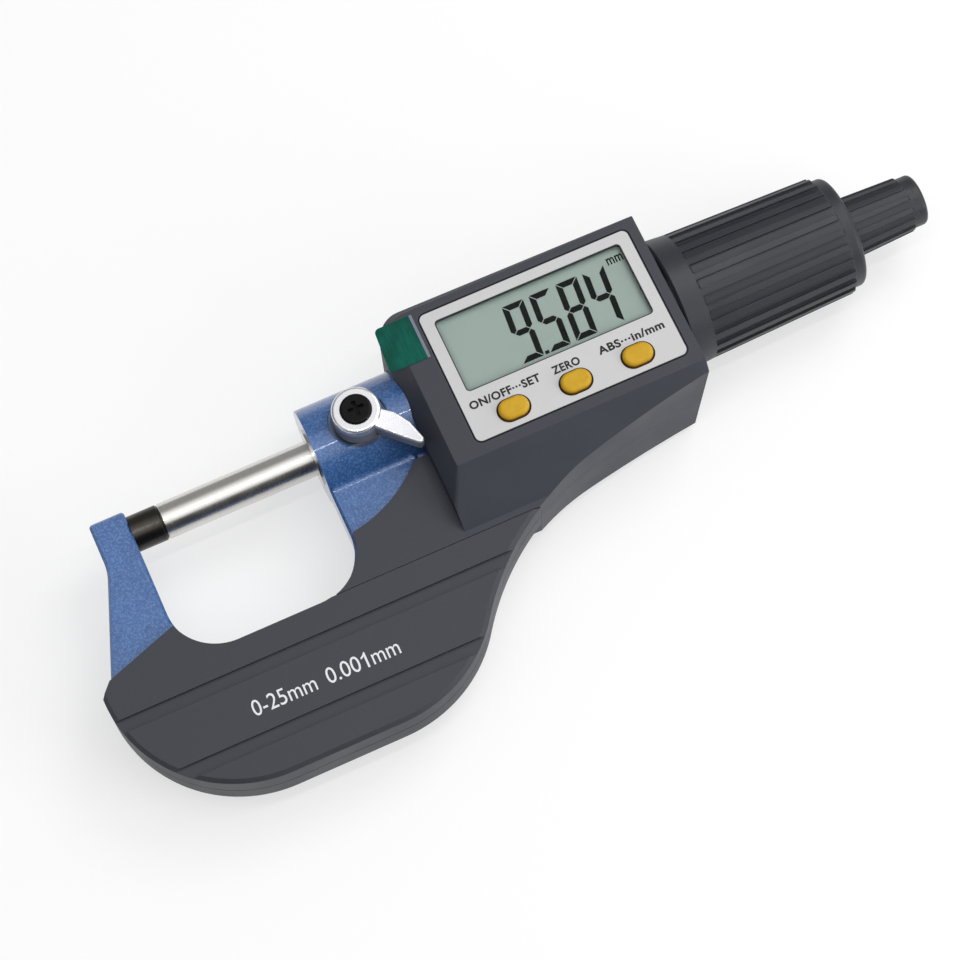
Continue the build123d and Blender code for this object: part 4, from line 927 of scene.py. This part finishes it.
@dataclass
class Lettering:
    """Printed words, drawn with the built-in typeface as thin raised ink."""

    ink: float = 0.012
    weight: float = 0.0
    spacing: float = 1.0

    def write(self, piece: Piece, words: str, low: tuple[float, float, float], width: float,
              tall: float, gauge: str) -> bpy.types.Object:
        """Prints words into a given space.

        Args:
            piece: The piece that the print becomes.
            words: What is printed.
            low: Lower left corner of the words in spindle coordinates, in mm.
            width: Length of the words in mm.
            tall: Height of the gauge's letters in mm.
            gauge: Letters whose height is given.

        Returns:
            The printed words as a mesh object.
        """
        mesh = self._mesh(words)
        left, _, length, _ = self._span(mesh)
        _, bottom, _, rise = self._span(self._mesh(gauge))
        scale = Matrix.Diagonal((width / length * MM, tall / rise * MM, MM, 1.0))
        start = Matrix.Translation((-left, -bottom, 0.0))
        mesh.transform(Matrix.Translation(at(*low)) @ scale @ start)
        return piece.settle(mesh)

    def _mesh(self, words: str) -> bpy.types.Mesh:
        """Returns the words as a mesh about 1 mm high."""
        curve = bpy.data.curves.new("words", "FONT")
        curve.body = words
        curve.extrude = self.ink
        curve.offset = self.weight
        curve.space_character = self.spacing
        curve.resolution_u = CURVE_STEPS
        holder = bpy.data.objects.new("words", curve)
        bpy.context.scene.collection.objects.link(holder)
        bpy.context.view_layer.update()
        mesh = bpy.data.meshes.new_from_object(holder)
        bpy.data.objects.remove(holder)
        bpy.data.curves.remove(curve)
        return mesh

    @staticmethod
    def _span(mesh: bpy.types.Mesh) -> tuple[float, float, float, float]:
        """Returns the mesh's lowest x and y, its width and its height."""
        across = [vertex.co.x for vertex in mesh.vertices]
        along = [vertex.co.y for vertex in mesh.vertices]
        return min(across), min(along), max(across) - min(across), max(along) - min(along)


def add_plate(shape: bmesh.types.BMesh, corners: Iterable[Vector], thickness: float) -> None:
    """Adds a thin upright-sided plate to a shape.

    Args:
        shape: The shape that it joins.
        corners: Its lower outline in the shared frame, counter-clockwise from above.
        thickness: Its thickness in mm.
    """
    face = shape.faces.new([shape.verts.new(corner) for corner in corners])
    raised = bmesh.ops.extrude_face_region(shape, geom=[face])
    lifted = [item for item in raised["geom"] if isinstance(item, bmesh.types.BMVert)]
    bmesh.ops.translate(shape, verts=lifted, vec=(0.0, 0.0, thickness * MM))


@dataclass
class Digits:
    """The segments of the liquid crystal that are switched on."""

    reading: str = "9584"
    left: float = 66.80
    base: float = -3.91
    pitch: float = 5.06
    width: float = 4.0
    height: float = 11.15
    stroke: float = 1.08
    gap: float = 0.10
    lean: float = 0.088
    level: float = 11.562
    ink: float = 0.010
    point_gap: float = 0.30
    point_size: tuple[float, float] = (0.75, 0.62)
    unit_place: tuple[float, float] = (87.80, 6.64)
    unit_size: tuple[float, float] = (2.95, 1.35)

    LIT: ClassVar[dict[str, str]] = {"9": "abcdfg", "5": "acdfg", "8": "abcdefg", "4": "bcfg"}

    def build(self) -> None:
        """Makes one piece for each digit, the point and the unit."""
        for index, figure in enumerate(self.reading):
            shape = bmesh.new()
            for bar in self.LIT[figure]:
                self._bar(shape, bar, self.left + index * self.pitch)
            self._piece(f"digit_{index + 1}").from_bmesh(shape)
        point = bmesh.new()
        across, along = self.point_size
        corners = [(0.0, 0.0), (across, 0.0), (across, along), (0.0, along)]
        self._plate(point, corners, self.left + self.width + self.point_gap)
        self._piece("decimal_point").from_bmesh(point)
        typeface = Lettering(ink=self.ink / 2.0, weight=0.02, spacing=1.05)
        low = (*self.unit_place, self.level + self.ink / 2.0)
        typeface.write(self._piece("unit_mark"), "mm", low, *self.unit_size, gauge="mm")

    def _piece(self, name: str) -> Piece:
        """Returns the description of one lit piece."""
        return Piece(name, Slot.CRYSTAL, CRYSTAL_INK)

    def _bar(self, shape: bmesh.types.BMesh, bar: str, left: float) -> None:
        """Adds one bar of a seven-bar figure.

        Args:
            shape: The figure being made.
            bar: Letter of the bar, a at the top and then clockwise, g across the middle.
            left: The figure's left edge in mm.
        """
        w, h, s, g = self.width, self.height, self.stroke, self.gap
        mid, half = h / 2.0, s / 2
        over, under = mid + half + g, mid - half - g
        outlines = {
            "a": [(g, h), (w - g, h), (w - s - g, h - s), (s + g, h - s)],
            "d": [(s + g, s), (w - s - g, s), (w - g, 0.0), (g, 0.0)],
            "g": [(half + g, mid), (s + g, mid + half), (w - s - g, mid + half),
                  (w - half - g, mid), (w - s - g, mid - half), (s + g, mid - half)],
            "f": [(0.0, h - g), (s, h - s - g), (s, over), (half, mid + g), (0.0, over)],
            "b": [(w, h - g), (w, over), (w - half, mid + g), (w - s, over), (w - s, h - s - g)],
            "e": [(0.0, g), (0.0, under), (half, mid - g), (s, under), (s, s + g)],
            "c": [(w, g), (w - s, s + g), (w - s, under), (w - half, mid - g), (w, under)],
        }
        self._plate(shape, outlines[bar], left)

    def _plate(self, shape: bmesh.types.BMesh, outline: list[tuple[float, float]], left: float) -> None:
        """Adds a thin plate with the given outline.

        Args:
            shape: The shape that it joins.
            outline: Corners from the figure's lower left, in mm.
            left: The figure's left edge in mm.
        """
        corners = [at(left + x + self.lean * y, self.base + y, self.level) for x, y in outline]
        add_plate(shape, corners, self.ink)


@dataclass
class FrameAndAnvil:
    """The painted C frame, its anvil and the two moulded covers."""

    words: tuple[tuple[str, str, float, float], ...] = (
        ("range_print", "0-25mm", 1.20, 11.45),
        ("resolution_print", "0.00", 14.65, 6.05),
        ("resolution_unit", "mm", 22.85, 4.95),
    )
    figure_one: tuple[tuple[float, float], ...] = (
        (0.0, 0.0), (0.36, 0.0), (0.36, 2.80), (0.13, 2.80), (-0.02, 2.55),
        (-0.30, 2.28), (-0.62, 2.10), (-0.62, 1.78), (-0.30, 1.92), (0.0, 2.12),
    )
    figure_left: float = 21.72
    baseline: float = -40.38
    figure_height: float = 2.86
    level: float = 5.005
    ink: float = 0.010

    def dress(self) -> None:
        """Gives each piece its finish and prints the measuring range."""
        HAMMER_BLUE.dress("frame")
        DARK_STEEL.dress("anvil", "anvil_tip")
        COVER_GREY.dress("front_frame_cover", "rear_frame_cover")
        typeface = Lettering(ink=self.ink)
        for name, words, left, width in self.words:
            low = (left, self.baseline, self.level)
            typeface.write(self._print(name), words, low, width, self.figure_height, gauge="0")
        shape = bmesh.new()
        corners = [at(self.figure_left + x, self.baseline + y, self.level) for x, y in self.figure_one]
        add_plate(shape, corners, self.ink)
        self._print("resolution_one").from_bmesh(shape)
        LOG.info("frame, anvil and covers")

    @staticmethod
    def _print(name: str) -> Piece:
        """Returns the description of one print on the cover."""
        return Piece(name, Slot.COVER, WHITE_INK)


@dataclass
class Housing:
    """The display housing with its screws, battery cap, cell and contacts."""

    def dress(self) -> None:
        """Gives each piece its finish."""
        HOUSING_GREY.dress("front_housing", "rear_housing", "battery_cap")
        BLACK_SCREW.dress("housing_screws")
        CELL_STEEL.dress("battery")
        CONTACT_METAL.dress("battery_contacts", "button_switches")
        BOARD_GREEN.dress("circuit_board", "encoder_stator", "encoder_rotor")
        LOG.info("housing and what it holds")


@dataclass
class Display:
    """The light surround with its window, the crystal and the labels of the keys."""

    level: float = 12.513
    baseline: float = -8.3
    capital: float = 1.52
    labels: tuple[tuple[str, str, float, float], ...] = (
        ("label_on_off", "ON/OFF···SET", 55.2, 13.07),
        ("label_zero", "ZERO", 70.62, 5.09),
        ("label_unit", "ABS···in/mm", 79.25, 12.28),
    )
    film_low: tuple[float, float] = (53.45, -6.43)
    film_high: tuple[float, float] = (92.5, 10.87)
    film_level: float = 12.53
    film_thickness: float = 0.06

    def dress(self) -> None:
        """Gives each piece its finish, prints the labels and lights the digits."""
        PANEL_GREY.dress("display_panel")
        CLEAR_PANE.dress("display_pane")
        CRYSTAL.dress("display")
        STRIP_RUBBER.dress("display_strips")
        self._lay_film()
        TAB_GREEN.dress("film_tab")
        BUTTON_YELLOW.dress("button_on_off", "button_zero", "button_unit")
        typeface = Lettering(weight=0.034, spacing=1.08)
        for name, words, left, width in self.labels:
            mark = Piece(name, Slot.PANEL, BLACK_INK)
            low = (left, self.baseline, self.level)
            typeface.write(mark, words, low, width, self.capital, gauge="E")
        Digits().build()
        LOG.info("display, keys and labels")

    def _lay_film(self) -> None:
        """Lays the clear film on the panel, a hair above it, in the solid film's place."""
        (left, bottom), (right, top) = self.film_low, self.film_high
        corners = [(left, bottom), (right, bottom), (right, top), (left, top)]
        shape = bmesh.new()
        add_plate(shape, [at(x, y, self.film_level) for x, y in corners], self.film_thickness)
        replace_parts(Piece("clear_sheet", Slot.FILM, CLEAR_FILM).from_bmesh(shape), "display_film")


@dataclass
class SpindleAndThimble:
    """The measuring spindle, stem, thimble and ratchet, and the spindle lock."""

    def dress(self) -> None:
        """Gives each piece its finish."""
        GROUND_STEEL.dress("spindle", "spindle_tip", "spindle_bush", "spindle_nut", "adjusting_nut",
                           "drive_key", "ratchet_screw", "ratchet_spring", "lock_stud")
        SATIN_STEEL.dress("stem", "thimble_core", "ratchet_base", "ratchet_ring")
        GRIP_BLACK.dress("thimble", "ratchet_knob")
        TURNED_BRASS.dress("lock_pad")
        LEVER_METAL.dress("lock_lever")
        BLACK_SCREW.dress("lock_screw")
        LOG.info("spindle, thimble, ratchet and lock")


@dataclass
class Studio:
    """The pale floor, soft lights and the camera."""

    white: Tint = Tint(255, 255, 255)
    floor_size: float = 3.0
    floor_drop: float = 0.0002
    shadow: float = 0.42
    sky: float = 1.22
    near_dark: float = 0.03
    near_angles: tuple[float, float] = (-46.0, -31.0)
    far_dim: float = 0.28
    far_angles: tuple[float, float] = (8.0, 42.0)
    left_dim: float = 0.35
    left_span: tuple[float, float] = (-0.85, 0.10)
    camera_place: tuple[float, float, float] = (-0.0768, -0.18198, 0.48683)
    camera_axes: tuple[tuple[float, float, float], ...] = (
        (0.91186673, -0.40921507, -0.03228146),
        (0.39433641, 0.85143573, 0.34576871),
        (-0.11400817, -0.32802474, 0.93776431),
    )
    focal_pixels: float = 2930.39
    frame_pixels: float = 960.0
    sensor: float = 36.0
    clip_start: float = 0.01
    lamps: tuple[tuple[str, tuple[float, float, float], tuple[float, float], float], ...] = (
        ("key_light", (0.36, 0.18, 0.58), (0.30, 0.30), 0.95),
        ("strip_light", (0.00, -0.09, 0.60), (0.50, 0.008), 0.50),
        ("side_light", (0.46, -0.50, 0.30), (0.36, 0.36), 1.90),
    )

    def build(self) -> None:
        """Builds floor, world, lamps and camera."""
        bpy.context.scene.view_settings.view_transform = "Standard"
        self._floor()
        self._world()
        for lamp in self.lamps:
            self._lamp(*lamp)
        self._camera()
        LOG.info("studio")

    @staticmethod
    def _seen(sheet: Sheet) -> Wire:
        """Returns 1 for what the camera, a gloss or clear plastic sees."""
        camera, gloss, through = (sheet.node("ShaderNodeLightPath", {}, {}, name)
                                  for name in ("Is Camera Ray", "Is Glossy Ray", "Is Transmission Ray"))
        return (camera + gloss + through).ramped(0.0, 1.0)

    def _floor(self) -> None:
        """Lays the floor just under the instrument's back."""
        shape = bmesh.new()
        bmesh.ops.create_grid(shape, x_segments=1, y_segments=1, size=self.floor_size / 2.0)
        bmesh.ops.translate(shape, verts=shape.verts, vec=(0.0, 0.0, -self.floor_drop))
        mesh = bpy.data.meshes.new("floor")
        shape.to_mesh(mesh)
        shape.free()
        material = bpy.data.materials.new("floor_paper")
        material.use_nodes = True
        sheet = Sheet(material.node_tree)
        tooth = sheet.noise(1.2, 2.0)
        paper = sheet.node("ShaderNodeBsdfDiffuse", {}, {
            "Color": sheet.blend(tooth * 0.3, self.white, self.white.shade(0.99)),
        })
        glow = sheet.node("ShaderNodeEmission", {}, {"Color": (1.0, 1.0, 1.0, 1.0), "Strength": 1.0})
        share = self._seen(sheet) * (1.0 - self.shadow)
        mixed = sheet.node("ShaderNodeMixShader", {}, {0: share, 1: paper, 2: glow})
        sheet.node("ShaderNodeOutputMaterial", {}, {"Surface": mixed})
        mesh.materials.append(material)
        floor = bpy.data.objects.new("floor", mesh)
        bpy.context.scene.collection.objects.link(floor)

    def _world(self) -> None:
        """Fills the room with plain soft light, white where it is seen."""
        world = bpy.data.worlds.new("room")
        world.use_nodes = True
        bpy.context.scene.world = world
        sheet = Sheet(world.node_tree)
        camera = sheet.node("ShaderNodeLightPath", {}, {}, "Is Camera Ray")
        way = sheet.node("ShaderNodeTexCoord", {}, {}, "Generated")
        across, along, up = (sheet.node("ShaderNodeSeparateXYZ", {}, {"Vector": way}, axis) for axis in "XYZ")
        lean = sheet.math("ARCTAN2", along, up) * math.degrees(1.0)
        near = lean.ramped(*self.near_angles, self.near_dark, 1.0)
        far = lean.ramped(*self.far_angles, 1.0, self.far_dim)
        level = near * far * across.ramped(*self.left_span, self.left_dim, 1.0) * self.sky
        strength = camera * (1.0 - level) + level
        back = sheet.node("ShaderNodeBackground", {}, {"Color": (1.0, 1.0, 1.0, 1.0), "Strength": strength})
        sheet.node("ShaderNodeOutputWorld", {}, {"Surface": back})

    @staticmethod
    def _lamp(name: str, place: tuple[float, float, float], size: tuple[float, float], power: float) -> None:
        """Hangs one soft lamp that looks at the instrument.

        Args:
            name: The lamp's name.
            place: Where it hangs, in metres.
            size: Length and width of its face in metres.
            power: Its power in watts.
        """
        data = bpy.data.lights.new(name, "AREA")
        data.shape = "RECTANGLE"
        data.size, data.size_y = size
        data.energy = power
        lamp = bpy.data.objects.new(name, data)
        lamp.location = place
        lamp.rotation_euler = (-Vector(place)).to_track_quat("-Z", "Y").to_euler()
        bpy.context.scene.collection.objects.link(lamp)

    def _camera(self) -> None:
        """Sets the camera where the photograph was taken from."""
        data = bpy.data.cameras.new("camera")
        data.sensor_width = self.sensor
        data.lens = self.focal_pixels / self.frame_pixels * self.sensor
        data.clip_start = self.clip_start
        camera = bpy.data.objects.new("camera", data)
        turn = Matrix(self.camera_axes).transposed().to_4x4()
        camera.matrix_world = Matrix.Translation(self.camera_place) @ turn
        bpy.context.scene.collection.objects.link(camera)
        bpy.context.scene.camera = camera


def main() -> None:
    """Builds the studio and dresses every sub-assembly in order."""
    logging.basicConfig(level=logging.INFO, format="%(message)s")
    Studio().build()
    for assembly in (FrameAndAnvil(), Housing(), Display(), SpindleAndThimble()):
        assembly.dress()


if __name__ == "__main__":
    main()
